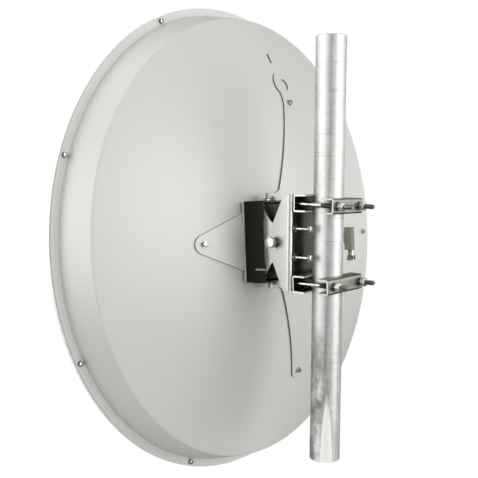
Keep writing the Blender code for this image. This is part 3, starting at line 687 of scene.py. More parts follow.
# looks by name, as a light and a dark colour, a roughness and a shine or a grain
MATERIALS = {
    "dish": powder_paint("reflector_paint", (0.59, 0.59, 0.558), (0.58, 0.581, 0.548), 0.42, 0.9),
    # the flange takes the dish paint darkened: painted shade
    "flange": powder_paint("flange_painted_shade", (0.55, 0.55, 0.522), (0.53, 0.53, 0.502), 0.42, 0.8),
    "arm": powder_paint("arm_paint", (0.585, 0.585, 0.553), (0.575, 0.576, 0.543), 0.38, 0.9),
    # the arm plate's side faces, near-black: painted shade for the gap beneath the arms' edges
    "arm_edge": powder_paint("arm_edge_painted_shade", (0.16, 0.158, 0.135), (0.12, 0.118, 0.1), 0.4),
    "radome": powder_paint("radome_plastic", (0.84, 0.845, 0.835), (0.8, 0.805, 0.79), 0.36),
    "mast": galvanised(),
    "sheet": brushed("stainless_sheet", (0.39, 0.39, 0.372), (0.34, 0.34, 0.323), 0.42),
    # the bends of the mast bracket, pale: a painted highlight
    "bend": brushed("sheet_bend_painted_highlight", (0.62, 0.62, 0.6), (0.54, 0.54, 0.52), 0.42),
    # light paint on the yoke's wings, made paler to lift the shade beside the box wall, so partly painted
    # light; also painted light on the box's left inner face and a painted highlight along its slit
    "yoke": powder_paint("yoke_paint_and_painted_light", (0.9, 0.9, 0.875), (0.86, 0.86, 0.835), 0.4),
    # cut edges and the dish bracket's foot strip, paler than the faces: partly bare cut metal, partly a
    # painted highlight
    "edge": brushed("sheet_cut_edge_painted_highlight", (0.56, 0.56, 0.53), (0.44, 0.44, 0.41), 0.34),
    # a darker copy of the cut edge look, on the upper saddle: painted shade
    "shaded_edge": brushed("sheet_edge_painted_shade", (0.38, 0.375, 0.35), (0.28, 0.275, 0.25), 0.4),
    # a still darker copy of the cut edge look, on the dish bracket's cut edges: painted shade
    "darker_shaded_edge": brushed("sheet_edge_darker_painted_shade", (0.24, 0.235, 0.2), (0.16, 0.155, 0.13), 0.34),
    "black": brushed("box_black", (0.018, 0.0175, 0.013), (0.012, 0.0115, 0.009), 0.3),
    # inner faces of the folded sheets, near-black: painted shade inside the folds
    "dark": brushed("sheet_inner_painted_shade", (0.085, 0.082, 0.066), (0.045, 0.043, 0.035), 0.24),
    # the mast bracket's web, dark bronze: painted shade and a painted reflection of dark surroundings
    "web_shade": brushed("sheet_web_painted_shade", (0.14, 0.132, 0.1), (0.065, 0.062, 0.046), 0.24),
    "clamp": brushed("clamp_sheet", (0.6, 0.595, 0.54), (0.34, 0.335, 0.29), 0.38, LEVEL),
    # a darker copy of the clamp sheet, on the lower saddle's outside: painted shade
    "shaded_clamp": brushed("clamp_sheet_painted_shade", (0.36, 0.355, 0.31), (0.2, 0.197, 0.165), 0.42, LEVEL),
    "bolt": plated("plated_bolts", (0.56, 0.555, 0.52), (0.26, 0.255, 0.23), 0.22),
    # a paler copy of the plating for nuts and heads: painted highlight
    "head": plated("bolt_heads_painted_highlight", (0.7, 0.7, 0.67), (0.4, 0.395, 0.36), 0.28),
    # a darker copy of the plating for threads and washers: painted shade
    "thread": plated("bolt_thread", (0.28, 0.27, 0.235), (0.12, 0.115, 0.1), 0.3),
    # a lighter copy of the thread look, on the left clamp bolts: painted light
    "lit_thread": plated("bolt_thread_painted_light", (0.4, 0.39, 0.335), (0.18, 0.173, 0.143), 0.3),
    "adapter": powder_paint("adapter_grey", (0.43, 0.431, 0.37), (0.41, 0.411, 0.352), 0.6, 0.4),
    # a darker copy of the adapter's grey, on its back face: painted shade
    "adapter_back": powder_paint("adapter_back_painted_shade", (0.23, 0.23, 0.196), (0.215, 0.215, 0.183), 0.6, 0.3),
    "connector": plated("connector_plating", (0.5, 0.475, 0.4), (0.2, 0.185, 0.14), 0.14),
}


# mast

def make_mast():
    bore = MAST_RADIUS - MAST_WALL
    burr = 0.5 * MM
    tube = ring(bore, MAST_RADIUS, 0, MAST_HEIGHT, burr, MAST_SEGMENTS)
    show("mast_tube", tube, "mast", ("mast",))
    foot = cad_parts["mast_foot_plate"]
    foot.material_slots[0].material = MATERIALS["mast"]


def channel_section(half_width, depth, sheet, bend, steps=8):
    """A bent U as an outline in X and Y: the web lies along X at Y = 0 and the sides rise to depth."""
    inner = bend - sheet
    outer = arc((half_width - bend, bend), bend, -90, 0, steps)
    inside = arc((half_width - bend, bend), inner, 0, -90, steps)
    right = outer + [(half_width, depth), (half_width - sheet, depth)] + inside
    return right + [(-x, y) for x, y in reversed(right)]


def tangent(corner, radius, side):
    """Angle at which a line from a corner touches a circle at the origin, on its side 1 or -1."""
    lean = math.acos(radius / math.hypot(*corner))
    return math.degrees(math.atan2(corner[1], corner[0]) + side * lean)


def bracket_side():
    """Side view of the mast bracket from its web to the round tip, with the pivot at the origin."""
    web = PIVOT_FORWARD - BRACKET_FACE
    corner = (web - BRACKET_TOP_EDGE, BRACKET_HALF_HEIGHT)
    touch = tangent(corner, BRACKET_TIP_RADIUS, 1)
    above = BRACKET_HALF_HEIGHT + 1 * MM
    upper = [(web + 1 * MM, above), (corner[0], above), corner]
    tip = arc((0, 0), BRACKET_TIP_RADIUS, touch, 360 - touch, 24)
    return upper + tip + [(x, -y) for x, y in reversed(upper)]


def lying(side, face):
    """Lays a section down: its length along X, its X up along Z, and its Y from face against side."""
    return Matrix(((0, 0, 1, 0), (0, -side, 0, side * face), (1, 0, 0, 0), (0, 0, 0, 1)))


def clamp_place(level):
    """Places a clamp's own frame, whose origin is on the mast's axis."""
    centre = moved(z=PIVOT_HEIGHT + CLAMP_HEIGHTS[level])
    return centre @ turned(CLAMP_ROLLS[level], "Y")


def bolt_place(level):
    """Places the frame of a clamp's two bolts, which lean a little in it."""
    lowered = moved(z=-BOLT_DROPS[level])
    return clamp_place(level) @ lowered @ turned(BOLT_TILTS[level], "X")


def saddle_place(level):
    """Places the frame of a clamp's saddle, which is turned a little on its bolts."""
    return bolt_place(level) @ turned(SADDLE_TURNS[level], "Z")


def clamp_bolt_holes(level):
    """What the two bolts of a clamp take out of the sheets."""
    holes = []
    for x in (-CLAMP_BOLT_OFFSET, CLAMP_BOLT_OFFSET):
        holes.append(hole(M8, bolt_place(level) @ moved(x) @ ALONG_Y))
    return together(holes)


def make_mast_bracket():
    """The folded bracket that the clamps hold: a web against the clamps and two pivot wings."""
    reach = PIVOT_FORWARD - BRACKET_FACE + BRACKET_TIP_RADIUS + 1 * MM
    section = channel_section(BRACKET_HALF_WIDTH, reach, BRACKET_SHEET, BRACKET_BEND)
    web = moved(0, -BRACKET_FACE, PIVOT_HEIGHT) @ turned(math.pi, "Z")
    folded = slab(section, BRACKET_HALF_HEIGHT, web)
    side = slab(bracket_side(), THROUGH, PIVOT @ SIDE_VIEW)
    holes = [clamp_bolt_holes(level) for level in CLAMP_HEIGHTS]
    holes.append(hole(M10, PIVOT @ ALONG_X))
    for height in (-WEB_BOLT_HEIGHT, WEB_BOLT_HEIGHT):
        holes.append(hole(M6, moved(WEB_BOLT_OFFSET, 0, PIVOT_HEIGHT + height) @ ALONG_Y))
    bracket = shaped(folded, [(KEEP, side), (CUT, together(holes))])
    looks = ("sheet", "dark", "edge", "web_shade", "bend")
    show("mast_bracket", bracket, "mast", looks, EDGE_BEVEL, bracket_finish)


def bracket_finish(middle, normal):
    """Light outside on the wings, painted shade inside and bronze-tinted painted shade on the web, and a
    painted highlight on the bends and along the cut edges.
    """
    outside = BRACKET_HALF_WIDTH - NEAR
    inside = BRACKET_HALF_WIDTH - BRACKET_SHEET
    if abs(middle.x) > outside and abs(normal.x) > SQUARE:
        return "sheet"
    if abs(normal.x) > SQUARE and abs(middle.x) < inside + NEAR:
        return "dark"
    if normal.y > SQUARE and middle.y > -BRACKET_FACE - NEAR:
        return "web_shade"
    if normal.y < -SQUARE and middle.y > -BRACKET_FACE - BRACKET_SHEET - NEAR:
        return "dark"
    # the bends take the paler look: a painted highlight
    if abs(normal.z) < 0.1 and normal.y > 0 and abs(middle.x) > inside - 2 * MM:
        return "bend"
    # the cut edges take the edge look: bare metal with a painted highlight
    return "edge"


# clamps

def make_clamp_half(node, level, place, width, face, side, looks):
    """A folded channel across the mast, notched to seat on it, with its web at a distance of face."""
    section = channel_section(width / 2, CLAMP_DEPTH, CLAMP_SHEET, CLAMP_BEND)
    half = slab(section, CLAMP_HALF_LENGTH, place @ lying(side, face))
    mast = cylinder(MAST_RADIUS + GAP, 0, MAST_HEIGHT, MAST_SEGMENTS)
    cut = shaped(half, [(CUT, mast), (CUT, clamp_bolt_holes(level))])
    to_clamp = place.inverted()
    turn_only = to_clamp.to_3x3()
    half_inside = width / 2 - CLAMP_SHEET + NEAR
    outer, inner, edge = looks

    def finish(middle, normal):
        """Tells the cut ends and rims, the inner side and the outer side apart."""
        spot = to_clamp @ middle
        facing = turn_only @ normal
        toward_mast = facing.y * side < -SQUARE
        if abs(facing.x) > SQUARE:
            return edge
        if toward_mast and abs(spot.y) < face - CLAMP_DEPTH + 2 * NEAR:
            return edge
        # the inner side takes the dark look: painted shade
        if abs(spot.z) < half_inside and (toward_mast or abs(facing.z) > SQUARE):
            return inner
        return outer

    show(node, cut, "mast", looks, EDGE_BEVEL, finish)


def make_clamp_bolt(name, place, end, thread_look):
    """A long bolt with its head inside the bracket."""
    head = -(BRACKET_FACE + BRACKET_SHEET + 2 * GAP)
    parts = [
        hexagon(FLATS[M8], head - 5.3 * MM, head, cut_high=False),
        cylinder(M8, head - 1 * MM, CLAMP_THREAD_START, 32),
        thread(M8, CLAMP_THREAD_START - 0.5 * MM, end),
    ]

    def finish(middle, _normal):
        return thread_look if CLAMP_THREAD_START < middle.y < end - 2 * NEAR else "bolt"

    show_bolt("clamp_bolt_" + name, parts, place @ ALONG_Y, looks=("bolt", thread_look), rule=finish)


def make_clamp_nut(name, place, x, turn):
    """A washer that lies on the turned saddle, with a spring washer, a collar and a nut behind it."""
    seat = (SADDLE_FACE + x * math.sin(turn)) / math.cos(turn) + GAP
    bore = M8 + GAP
    stack = [
        tinted(spring_washer(bore, 6.8 * MM, seat + 2.1 * MM, seat + 3.9 * MM), SHADE_TINT),
        ring(bore, 6.8 * MM, seat + 4 * MM, seat + 5.2 * MM, 0.3 * MM),
        tinted(hexagon(FLATS[M8], seat + 5.2 * MM, seat + 12 * MM), HIGHLIGHT_TINT),
    ]
    on_saddle = moved(0, seat) @ turned(turn, "Z") @ ALONG_Y
    washer = placed(ring(bore, 8 * MM, 0, 1.6 * MM), on_saddle)
    show_bolt("clamp_nut_" + name, [washer, placed(together(stack), ALONG_Y)], place)


def make_clamps():
    for level in CLAMP_HEIGHTS:
        channel = (clamp_place(level), CLAMP_SECTION, BRACKET_FACE - GAP, -1, CHANNEL_LOOKS)
        saddle = (saddle_place(level), SADDLE_SECTION, SADDLE_FACE, 1, SADDLE_LOOKS[level])
        make_clamp_half("clamp_channel_" + level, level, *channel)
        make_clamp_half("clamp_saddle_" + level, level, *saddle)
        for side, (x, ends, thread_look) in CLAMP_BOLTS.items():
            name = level + "_" + side
            spot = bolt_place(level) @ moved(x)
            make_clamp_bolt(name, spot, ends[level], thread_look)
            make_clamp_nut(name, spot, x, SADDLE_TURNS[level])


def make_web_bolts():
    """Two bolts with their nuts inside the bracket and their heads out beside the mast."""
    inside = -(BRACKET_FACE + BRACKET_SHEET + GAP)
    outside = -BRACKET_FACE + GAP
    for level, height in (("upper", WEB_BOLT_HEIGHT), ("lower", -WEB_BOLT_HEIGHT)):
        parts = [
            thread_down(M6, inside + 2 * MM, 9 * MM),
            cylinder(M6, inside, WEB_BOLT_END - 4 * MM, 32),
            hexagon(FLATS[M6], WEB_BOLT_END - 5 * MM, WEB_BOLT_END, cut_low=False),
            ring(M6, 6.5 * MM, outside, outside + 1.6 * MM),
            hexagon(FLATS[M6], inside - 5 * MM, inside),
        ]
        place = moved(WEB_BOLT_OFFSET, 0, PIVOT_HEIGHT + height) @ ALONG_Y
        show_bolt("web_bolt_" + level, parts, place, looks=("bolt",))


def make_elevation_pivot():
    """On each side a bolt with washers and a nut, and a spacer between the two wings."""
    outside = BRACKET_HALF_WIDTH + GAP
    inside = YOKE_HALF_WIDTH - YOKE_SHEET - GAP
    low = YOKE_HALF_WIDTH + GAP
    high = BRACKET_HALF_WIDTH - BRACKET_SHEET - GAP
    for side, turn in (("left", 0), ("right", math.pi)):
        place = PIVOT @ turned(turn, "Z") @ ALONG_X
        parts = [
            thread_down(M10, inside + 2 * MM, 11 * MM),
            cylinder(M10, inside, outside + 8 * MM, 40),
            ring(M10, 10.3 * MM, outside, outside + 2.2 * MM, 0.35 * MM),
            tinted(spring_washer(M10, 8.8 * MM, outside + 2.3 * MM, outside + 5 * MM), SHADE_TINT),
            tinted(ring(M10, 8.8 * MM, outside + 5 * MM, outside + 7.7 * MM, 0.4 * MM), SHADE_TINT),
            tinted(hexagon(FLATS[M10], outside + 7.7 * MM, outside + 15.5 * MM), HIGHLIGHT_TINT),
            hexagon(FLATS[M10], inside - 8 * MM, inside),
        ]
        show_bolt("pivot_bolt_" + side, parts, place)
        spacer = ring(M10 + GAP, 9 * MM, low, high, 0.4 * MM)
        show_bolt("pivot_spacer_" + side, [spacer], place, looks=("bolt",))


# yoke

def yoke_side():
    """Side view of the yoke's web and wings, with the pivot at the origin."""
    front = YOKE_WEB_BACK - YOKE_SHEET - 1 * MM
    above = YOKE_WING_TOP + 1 * MM
    touch = tangent(YOKE_WING_BEND, YOKE_TIP_RADIUS, -1)
    upper = [(front, above), (YOKE_WEB_BACK, above), (YOKE_WEB_BACK, YOKE_WING_TOP), YOKE_WING_BEND]
    tip = arc((0, 0), YOKE_TIP_RADIUS, touch, -touch, 32)
    return upper + tip + [(x, -y) for x, y in reversed(upper)]


def yoke_tabs():
    """The web's upper and lower ends folded forward, with round corners."""
    height = BOX_HALF_HEIGHT - BOX_SHEET - GAP
    reach = YOKE_WEB_BACK + SWING_FORWARD + YOKE_TAB_ROUND + 1 * MM
    section = channel_section(height, reach, YOKE_SHEET, YOKE_BEND)
    half = YOKE_TAB_HALF_WIDTH
    outline = [(half, YOKE_WEB_BACK + 1 * MM), (half, YOKE_TAB_SHOULDER)]
    outline += arc((0, -SWING_FORWARD), YOKE_TAB_ROUND, -20, -160, 20)
    outline += [(-half, YOKE_TAB_SHOULDER), (-half, YOKE_WEB_BACK + 1 * MM)]
    tabs = slab(section, half, lying(1, YOKE_WEB_BACK))
    return shaped(tabs, [(KEEP, extruded(outline, -THROUGH, THROUGH))])


def make_yoke():
    """A folded plate inside the dish bracket: a web, two tabs forward and two wings back to the pivot."""
    reach = YOKE_TIP_RADIUS - YOKE_WEB_BACK + 3 * MM
    wings = channel_section(YOKE_HALF_WIDTH, reach, YOKE_SHEET, YOKE_BEND)
    web_front = moved(0, YOKE_WEB_BACK - YOKE_SHEET)
    folded = slab(wings, YOKE_WING_TOP, web_front)
    holes = together([hole(M10, ALONG_X), hole(M10, moved(0, -SWING_FORWARD))])
    steps = [(KEEP, slab(yoke_side(), THROUGH, SIDE_VIEW)), (JOIN, yoke_tabs()), (CUT, holes)]
    yoke = placed(shaped(folded, steps), TILT_AXIS)
    show("yoke", yoke, "yoke", ("yoke", "dark", "edge"), EDGE_BEVEL, yoke_finish)


def yoke_finish(middle, normal):
    """Light paint on the wings' outer sides, painted shade on the web and inside, and a painted highlight
    along the cut edges.
    """
    if abs(normal.x) > SQUARE:
        return "yoke" if abs(middle.x) > YOKE_HALF_WIDTH - NEAR else "dark"
    spot = TILT_AXIS.inverted() @ middle
    if abs(normal.y) > SQUARE and spot.y < YOKE_WEB_BACK + NEAR:
        return "dark"
    return "edge"


def make_azimuth_bolts():
    """The upright bolts that the dish bracket swings on, heads outside and collars under the tabs."""
    outside = BOX_HALF_HEIGHT + GAP
    inside = BOX_HALF_HEIGHT - BOX_SHEET - YOKE_SHEET - 2 * GAP
    for end, turn in (("top", 0), ("bottom", math.pi)):
        parts = [
            thread_down(M10, inside + 1 * MM, 10 * MM),
            cylinder(M10, inside, outside + 7 * MM, 40),
            ring(M10, 10.3 * MM, outside, outside + 2.2 * MM, 0.35 * MM),
            tinted(spring_washer(M10, 8.6 * MM, outside + 2.3 * MM, outside + 4.4 * MM), SHADE_TINT),
            ring(M10, 8.8 * MM, outside + 4.4 * MM, outside + 6.2 * MM, 0.4 * MM),
            tinted(hexagon(AZIMUTH_FLATS, outside + 6.2 * MM, outside + 13.4 * MM), HIGHLIGHT_TINT),
            ring(M10, YOKE_COLLAR_RADIUS, inside - 6 * MM, inside, 0.5 * MM),
        ]
        show_bolt("azimuth_bolt_" + end, parts, SWING_AXIS @ turned(turn, "X"), "yoke")


# dish bracket and arm plate

def dish_height(radius):
    """Height of the reflector's back above the flange plane."""
    return CORNER_HEIGHT + (CORNER_RADIUS**2 - radius**2) / (4 * FOCAL_LENGTH)


def arm_height(radius):
    """Height of the arm plate's dish side: it touches at the screws and stands off towards the centre."""
    share = min(radius / ARM_SCREW_RADIUS, 1)
    return dish_height(radius) + ARM_GAP + ARM_RISE * (1 - share**2)


def seat_under_box(lift):
    """What lies in front of the foot: straight up and down, and bent along X as the arm plate is."""
    reach = 60 * MM
    outline = [(-reach, -FLANGE_FORWARD), (reach, -FLANGE_FORWARD)]
    for x in even(reach, -reach, 24):
        back = arm_height(x + DISH_OFFSET) + ARM_SHEET + lift
        outline.append((x, SWING_FORWARD - FLANGE_FORWARD + back))
    return slab(outline, THROUGH, SWING_AXIS)


def box_block(half_width, half_height, front, back):
    """A block in the swinging frame, between two places along Y as seen from the tilt axis."""
    low = (-half_width, front + SWING_FORWARD, -half_height)
    high = (half_width, back + SWING_FORWARD, half_height)
    return placed(block(low, high), SWING_AXIS)


def make_dish_bracket():
    """Four walls on a foot that follows the arm plate, open towards the mast."""
    foot = shaped(
        box_block(BOX_FOOT_HALF_WIDTH, BOX_HALF_HEIGHT, BOX_FRONT, BOX_BACK),
        [(CUT, seat_under_box(GAP)), (KEEP, seat_under_box(GAP + BOX_SHEET))],
    )
    inner = (BOX_HALF_WIDTH - BOX_SHEET, BOX_HALF_HEIGHT - BOX_SHEET)
    back = BOX_BACK + SWING_FORWARD
    slit = block(
        (inner[0] - 2 * MM, back - BOX_SLIT_LENGTH, BOX_SLIT_HEIGHT - BOX_SLIT_WIDTH / 2),
        (BOX_HALF_WIDTH + 2 * MM, back + 2 * MM, BOX_SLIT_HEIGHT + BOX_SLIT_WIDTH / 2),
    )
    steps = [
        (CUT, seat_under_box(GAP)),
        (JOIN, foot),
        (CUT, box_block(*inner, BOX_FRONT - 5 * MM, BOX_BACK + 5 * MM)),
        (CUT, hole(M10, SWING_AXIS)),
        (CUT, placed(slit, SWING_AXIS)),
        (CUT, placed(slit_rim(), SWING_AXIS)),
    ]
    box = shaped(box_block(BOX_HALF_WIDTH, BOX_HALF_HEIGHT, BOX_FRONT, BOX_BACK), steps)
    looks = ("black", "edge", "darker_shaded_edge", "yoke")
    show("dish_bracket", box, "dish", looks, EDGE_BEVEL, box_finish)


def slit_rim():
    """A wedge that turns the slit's two long edges out to the wall's face."""
    outside = BOX_HALF_WIDTH + 1 * MM
    wide = BOX_SLIT_WIDTH / 2 + BOX_SLIT_RIM
    section = [(BOX_HALF_WIDTH - BOX_SHEET, 0), (outside, -wide), (outside, wide)]
    back = BOX_BACK + SWING_FORWARD
    # the section lies in X and Z, and its length runs along Y
    stand = Matrix(((1, 0, 0, 0), (0, 0, 1, 0), (0, 1, 0, BOX_SLIT_HEIGHT), (0, 0, 0, 1)))
    return together([placed(extruded(section, back - BOX_SLIT_LENGTH, back + 1 * MM), stand)])


def box_finish(middle, normal):
    """Black walls; a painted highlight on the foot's outer strip and beside the slit, painted light on the
    left wall's inner face, and painted shade on the other cut edges.
    """
    spot = SWING_AXIS.inverted() @ middle
    inner = BOX_HALF_WIDTH - BOX_SHEET
    # the foot's outer strip takes the cut edge look: a painted highlight
    if abs(spot.x) > BOX_HALF_WIDTH + NEAR:
        return "edge"
    # the slit's rims take the pale look: a painted highlight
    if abs(spot.z - BOX_SLIT_HEIGHT) < 2.5 * MM and abs(normal.x) < SQUARE and spot.x > inner:
        return "yoke"
    # the left wall's inner face takes the pale look: painted light
    if normal.x < -SQUARE and inner - NEAR < spot.x < inner + NEAR:
        return "yoke"
    if abs(normal.x) > SQUARE or abs(normal.z) > SQUARE:
        return "black"
    # the other cut edges take a darker look: painted shade
    return "darker_shaded_edge"


def arm_outline():
    """Four tapering arms, the upper one with an eye beyond its screw."""
    lean = math.degrees(math.atan2(ARM_CORNER - ARM_TIP_RADIUS, ARM_TIP_CENTRE - ARM_CORNER))
    plain = arc((0, ARM_TIP_CENTRE), ARM_TIP_RADIUS, 180 - lean, lean, 24)
    outline = []
    for quarter in range(4):
        turn = Matrix.Rotation(-math.pi / 2 * quarter, 2)
        for point in [(-ARM_CORNER, ARM_CORNER)] + (eye_tip() if quarter == 0 else plain):
            outline.append(tuple(turn @ Vector(point)))
    return outline


def eye_tip():
    """The upper arm's end: a neck past the screw, then a round eye."""
    start = math.degrees(math.acos(-EYE_NECK / EYE_RADIUS))
    ring_points = arc((0, EYE_CENTRE), EYE_RADIUS, 360 - start, start - 180, 40)
    return [(-ARM_TIP_RADIUS, ARM_TIP_CENTRE)] + ring_points + [(ARM_TIP_RADIUS, ARM_TIP_CENTRE)]


def arm_screw_spot(index):
    """Places an arm screw's frame on the arm plate, with +Z square to the sheet."""
    slope = math.atan(ARM_SCREW_RADIUS / (2 * FOCAL_LENGTH))
    seat = moved(0, -ARM_SCREW_RADIUS, arm_height(ARM_SCREW_RADIUS) + ARM_SHEET)
    return turned(math.pi / 2 * index, "Z") @ seat @ turned(slope, "X") @ turned(ARM_SCREW_TWIST, "Z")


def make_arm_plate():
    """A sheet that follows the back of the dish, cut to four arms."""
    radii = even(ARM_HUB_HOLE, EYE_CENTRE + EYE_RADIUS + 2 * MM, 28)
    profile = [(radius, arm_height(radius) + ARM_SHEET) for radius in radii]
    sheet = thickened(spun(profile, 160), ARM_SHEET)
    holes = [placed(cylinder(EYE_HOLE, 0, FLANGE_FORWARD), moved(EYE_HOLE_SIDE, -EYE_CENTRE))]
    for index in range(4):
        holes.append(placed(cylinder(M6 + HOLE_PLAY, -10 * MM, 10 * MM, 24), arm_screw_spot(index)))
    # in the spun frame the dish's upward direction is -Y; together() turns the mirrored faces outwards
    star = placed(extruded(arm_outline(), 0, FLANGE_FORWARD), Matrix.Scale(-1, 4, (0, 1, 0)))
    arms = shaped(sheet, [(CUT, together(holes)), (KEEP, together([star]))])
    # side faces of the arms take the dark look: painted shade for the gap beneath their edges
    for polygon in arms.polygons:
        polygon.material_index = 1 if abs(polygon.normal.z) < 0.5 else 0
    show("arm_plate", placed(arms, DISH_FRAME), "dish", ("arm", "arm_edge"), 0.4 * MM)


def make_arm_screws():
    seat = ARM_SCREW_SEAT
    for index, side in enumerate(("up", "left", "down", "right")):
        parts = [
            thread(M6, -ARM_SHEET + GAP, 6.6 * MM),
            ring(M6, 5.8 * MM, seat, seat + 1.4 * MM),
            hexagon(ARM_SCREW_FLATS, seat + 1.4 * MM, seat + 5 * MM),
        ]
        show_bolt("arm_screw_" + side, parts, DISH_FRAME @ arm_screw_spot(index), "dish", ("bolt",))


# reflector and radome

def reflector_profile():
    """The back of the reflector, from the hub out over the rounded corner and down to the flange's edge."""
    radii = even(HUB_HOLE, CORNER_RADIUS - CORNER_ROUND, 44)
    profile = [(radius, dish_height(radius)) for radius in radii]
    above = Vector(profile[-1])
    corner = Vector((CORNER_RADIUS, CORNER_HEIGHT))
    wall_foot = Vector((FLANGE_INNER - FILLET, SHEET + FILLET))
    lean = (wall_foot.x - corner.x) / (corner.y - wall_foot.y)
    below = corner + Vector((lean * CORNER_ROUND, -CORNER_ROUND))
    for share in even(0, 1, 6)[1:-1]:
        profile.append(tuple(above.lerp(corner, share).lerp(corner.lerp(below, share), share)))
    profile += [tuple(below.lerp(wall_foot, share)) for share in even(0, 1, 6)[:-1]]
    profile += arc((FLANGE_INNER, SHEET + FILLET), FILLET, 180, 270, 10)
    return profile + [(DISH_RADIUS - FLANGE_BURR, SHEET), (DISH_RADIUS, SHEET - FLANGE_BURR)]


def make_reflector():
    """The bowl with its shroud wall, its flange painted darker as shade, and a small slot high in it."""
    sheet = thickened(spun(reflector_profile(), DISH_SEGMENTS), SHEET - FLANGE_BURR)
    low, high = SLOT_RADII
    slot = block((SLOT_SIDES[0], -high, SLOT_HEIGHTS[0]), (SLOT_SIDES[1], -low, SLOT_HEIGHTS[1]))
    reflector = shaped(sheet, [(CUT, slot)])
    # faces on the flange take the darker look: painted shade
    for polygon in reflector.polygons:
        polygon.material_index = 1 if polygon.center.z < SHEET + 2 * NEAR else 0
    show("reflector", placed(reflector, DISH_FRAME), "dish", ("dish", "flange"))


def make_radome():
    """A shallow domed cover, whose thick edge stands in front of the flange."""
    rounding = 3 * MM
    edge = RADOME_RADIUS - rounding
    lip = FLANGE_INNER - 6 * MM
    dome = [(share, RADOME_BULGE * (1 - share**2)) for share in even(0, 1, 32)]
    front = [(edge * share, -RADOME_EDGE - rise) for share, rise in dome[:-1]]
    front += arc((edge, -RADOME_EDGE + rounding), rounding, -90, 0, 8)
    back = [(lip * share, RADOME_WALL - RADOME_EDGE - rise) for share, rise in dome]
    profile = front + [(RADOME_RADIUS, -GAP), (lip, -GAP)] + list(reversed(back))
    radome = placed(spun(profile, DISH_SEGMENTS), DISH_FRAME)
    show("radome", radome, "dish", ("radome",))


def screw_head(radius, low, high):
    """A domed screw head with a crossed recess."""
    top = [(radius * math.cos(a), low + (high - low) * math.sin(a)) for a in (0.0, 0.35, 0.7, 1.05, 1.35)]
    dome = spun([(0, low)] + top + [(0, high)], 40)
    slot = radius * 0.16
    reach = radius * 0.62
    deep = high - (high - low) * 0.55
    cuts = []
    for x, y in ((reach, slot), (slot, reach)):
        cuts.append((CUT, block((-x, -y, deep), (x, y, high + 1 * MM))))
    return shaped(dome, cuts)


def make_rim_screws():
    front = -RADOME_EDGE - 1 * MM
    back = SHEET + GAP
    for index in range(RIM_SCREWS):
        angle = RIM_SCREW_FIRST + math.tau * index / RIM_SCREWS
        spot = moved(RIM_SCREW_RADIUS * math.sin(angle), -RIM_SCREW_RADIUS * math.cos(angle))
        parts = [
            thread(M5, front - 1 * MM, back + 6.5 * MM, 20),
            tinted(ring(M5, 5 * MM, back, back + 1 * MM, 0.2 * MM, 32), SHADE_TINT),
            hexagon(FLATS[M5], back + 1 * MM, back + 4.8 * MM),
            placed(screw_head(4.8 * MM, 0, 2.4 * MM), moved(z=front) @ turned(math.pi, "X")),
        ]
        place = DISH_FRAME @ spot @ turned(index * RIM_SCREW_STEP, "Z")
        show_bolt("rim_screw_" + str(index + 1), parts, place, "dish", ("bolt", "thread"))


# feed

def make_feed():
    """The waveguide that leaves the hub, its adapter block and the connector under it."""
    end = FLANGE_FORWARD + FEED_TUBE_END
    tube = chamfered(FEED_TUBE_RADIUS, dish_height(0) - 12 * MM, end, 0.6 * MM, 96)
    show("feed_tube", placed(tube, DISH_FRAME), "dish", ("dish",))
    half_width = ADAPTER_WIDTH / 2
    # in the spun frame down is +Y
    top = ADAPTER_DROP - ADAPTER_HEIGHT / 2
    foot = ADAPTER_DROP + ADAPTER_HEIGHT / 2
    near = end + GAP
    body = placed(block((-half_width, top, near), (half_width, foot, near + ADAPTER_DEPTH)), DISH_FRAME)
    show("feed_adapter", body, "dish", ("adapter", "adapter_back"), 0.7 * MM, adapter_finish)
    centre = moved(0, foot, near + ADAPTER_DEPTH / 2 + CONNECTOR_BACK)
    socket = placed(connector(), DISH_FRAME @ centre @ turned(math.pi / 2, "X"))
    show("feed_connector", socket, "dish", ("connector",))


def adapter_finish(_middle, normal):
    """Painted shade on the face that looks back."""
    return "adapter_back" if normal.y > SQUARE else "adapter"


def connector():
    """A collar, a neck, a threaded barrel with an open mouth and the centre pin in it."""
    top, end = CONNECTOR_TOP, CONNECTOR_END
    neck, barrel, mouth = CONNECTOR_NECK, CONNECTOR_THREAD, CONNECTOR_MOUTH
    body = [(0, -GAP), (neck, -GAP), (neck, -1.6 * MM)]
    body += [(neck - 0.6 * MM, -1.9 * MM), (neck - 0.6 * MM, top + 0.4 * MM)]
    body += [(barrel - 0.3 * MM, top), (barrel, top - 0.3 * MM)]
    for i in range(CONNECTOR_GROOVES):
        level = top - 0.8 * MM - i * CONNECTOR_PITCH
        body += [(barrel, level), (barrel - 0.45 * MM, level - CONNECTOR_PITCH / 2)]
    bottom = top - 1 * MM
    body += [(barrel - 0.4 * MM, end), (mouth, end), (mouth, bottom), (0, bottom)]
    pin = [(0, bottom), (0.8 * MM, bottom), (0.8 * MM, end + 2 * MM), (0, end + 1.5 * MM)]
    return together([spun(body, 64), spun(pin, 24)])


# stage

def make_camera():
    right = Vector(CAMERA_RIGHT).normalized()
    up = (Vector(CAMERA_UP) - right * right.dot(Vector(CAMERA_UP))).normalized()
    back = right.cross(up)
    data = bpy.data.cameras.new("camera")
    data.lens = CAMERA_LENS
    data.sensor_width = 36
    data.clip_start = 0.01
    made = linked("camera", data)
    made.matrix_world = moved(*CAMERA_PLACE) @ Matrix((right, up, back)).transposed().to_4x4()
    bpy.context.scene.camera = made


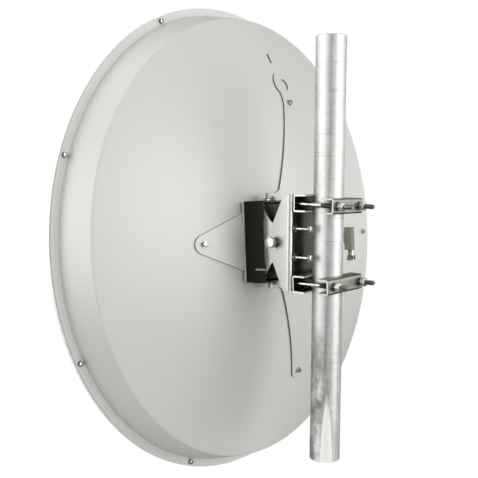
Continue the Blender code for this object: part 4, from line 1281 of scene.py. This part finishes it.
def make_floor():
    """A round pale floor under the object."""
    work = bmesh.new()
    bmesh.ops.create_circle(work, cap_ends=True, segments=128, radius=FLOOR_RADIUS)
    bmesh.ops.translate(work, verts=work.verts, vec=(0, 0, FLOOR_HEIGHT))
    floor = linked("floor", finished(work))
    material, shader = new_material("floor_pale", (0.5, 0.5, 0.49), 0.9, 0)
    tone = spread(pattern(shader, 0.8), 0, 1)
    plug(shader.inputs["Base Color"], mixed(tone, (0.48, 0.48, 0.47), (0.52, 0.52, 0.51)))
    floor.data.materials.append(material)


def glow(value, low, high, strength):
    """Light that grows smoothly from nothing at low to its full strength at high."""
    return spread(value, 0, strength, low, high, "SMOOTHSTEP")


def make_tent():
    """A light tent as the world: a dim dome, a glow along the horizon and the soft boxes."""
    world = bpy.data.worlds.new("tent")
    world.use_nodes = True
    bpy.context.scene.world = world
    output = world.node_tree.nodes["World Output"]
    direction = add_node(output, "ShaderNodeTexCoord").outputs["Generated"]
    height = add_node(output, "ShaderNodeSeparateXYZ", Vector=direction).outputs["Z"]
    total = glow(height, DOME_FOOT, DOME_TOP, TENT_LIGHT)
    # the glow rises to its full strength at the horizon, and falls again above it
    total = plus(total, glow(height, HORIZON_FOOT, 0, HORIZON_LIGHT))
    total = plus(total, glow(height, 0, HORIZON_TOP, -HORIZON_LIGHT))
    for compass, rise, strength, half_angle in SOFT_BOXES:
        facing = along(direction, direction_of(compass, rise))
        edge = math.cos(math.radians(half_angle))
        core = math.cos(math.radians(half_angle * BOX_CORE))
        total = plus(total, glow(facing, edge, core, strength))
    light = add_node(output, "ShaderNodeBackground", Color=(1, 1, 1, 1), Strength=total)
    # the camera itself sees plain white
    white = add_node(output, "ShaderNodeBackground", Color=(1, 1, 1, 1))
    seen = add_node(output, "ShaderNodeLightPath").outputs["Is Camera Ray"]
    choice = add_node(output, "ShaderNodeMixShader", Fac=seen)
    plug(choice.inputs[1], light.outputs["Background"])
    plug(choice.inputs[2], white.outputs["Background"])
    plug(output.inputs["Surface"], choice.outputs["Shader"])


def make_stage():
    make_camera()
    make_floor()
    make_tent()
    bpy.context.scene.view_settings.view_transform = "Standard"


make_stage()
make_mast()
make_mast_bracket()
make_clamps()
make_web_bolts()
make_elevation_pivot()
make_yoke()
make_azimuth_bolts()
make_dish_bracket()
make_arm_plate()
make_arm_screws()
make_reflector()
make_radome()
make_rim_screws()
make_feed()
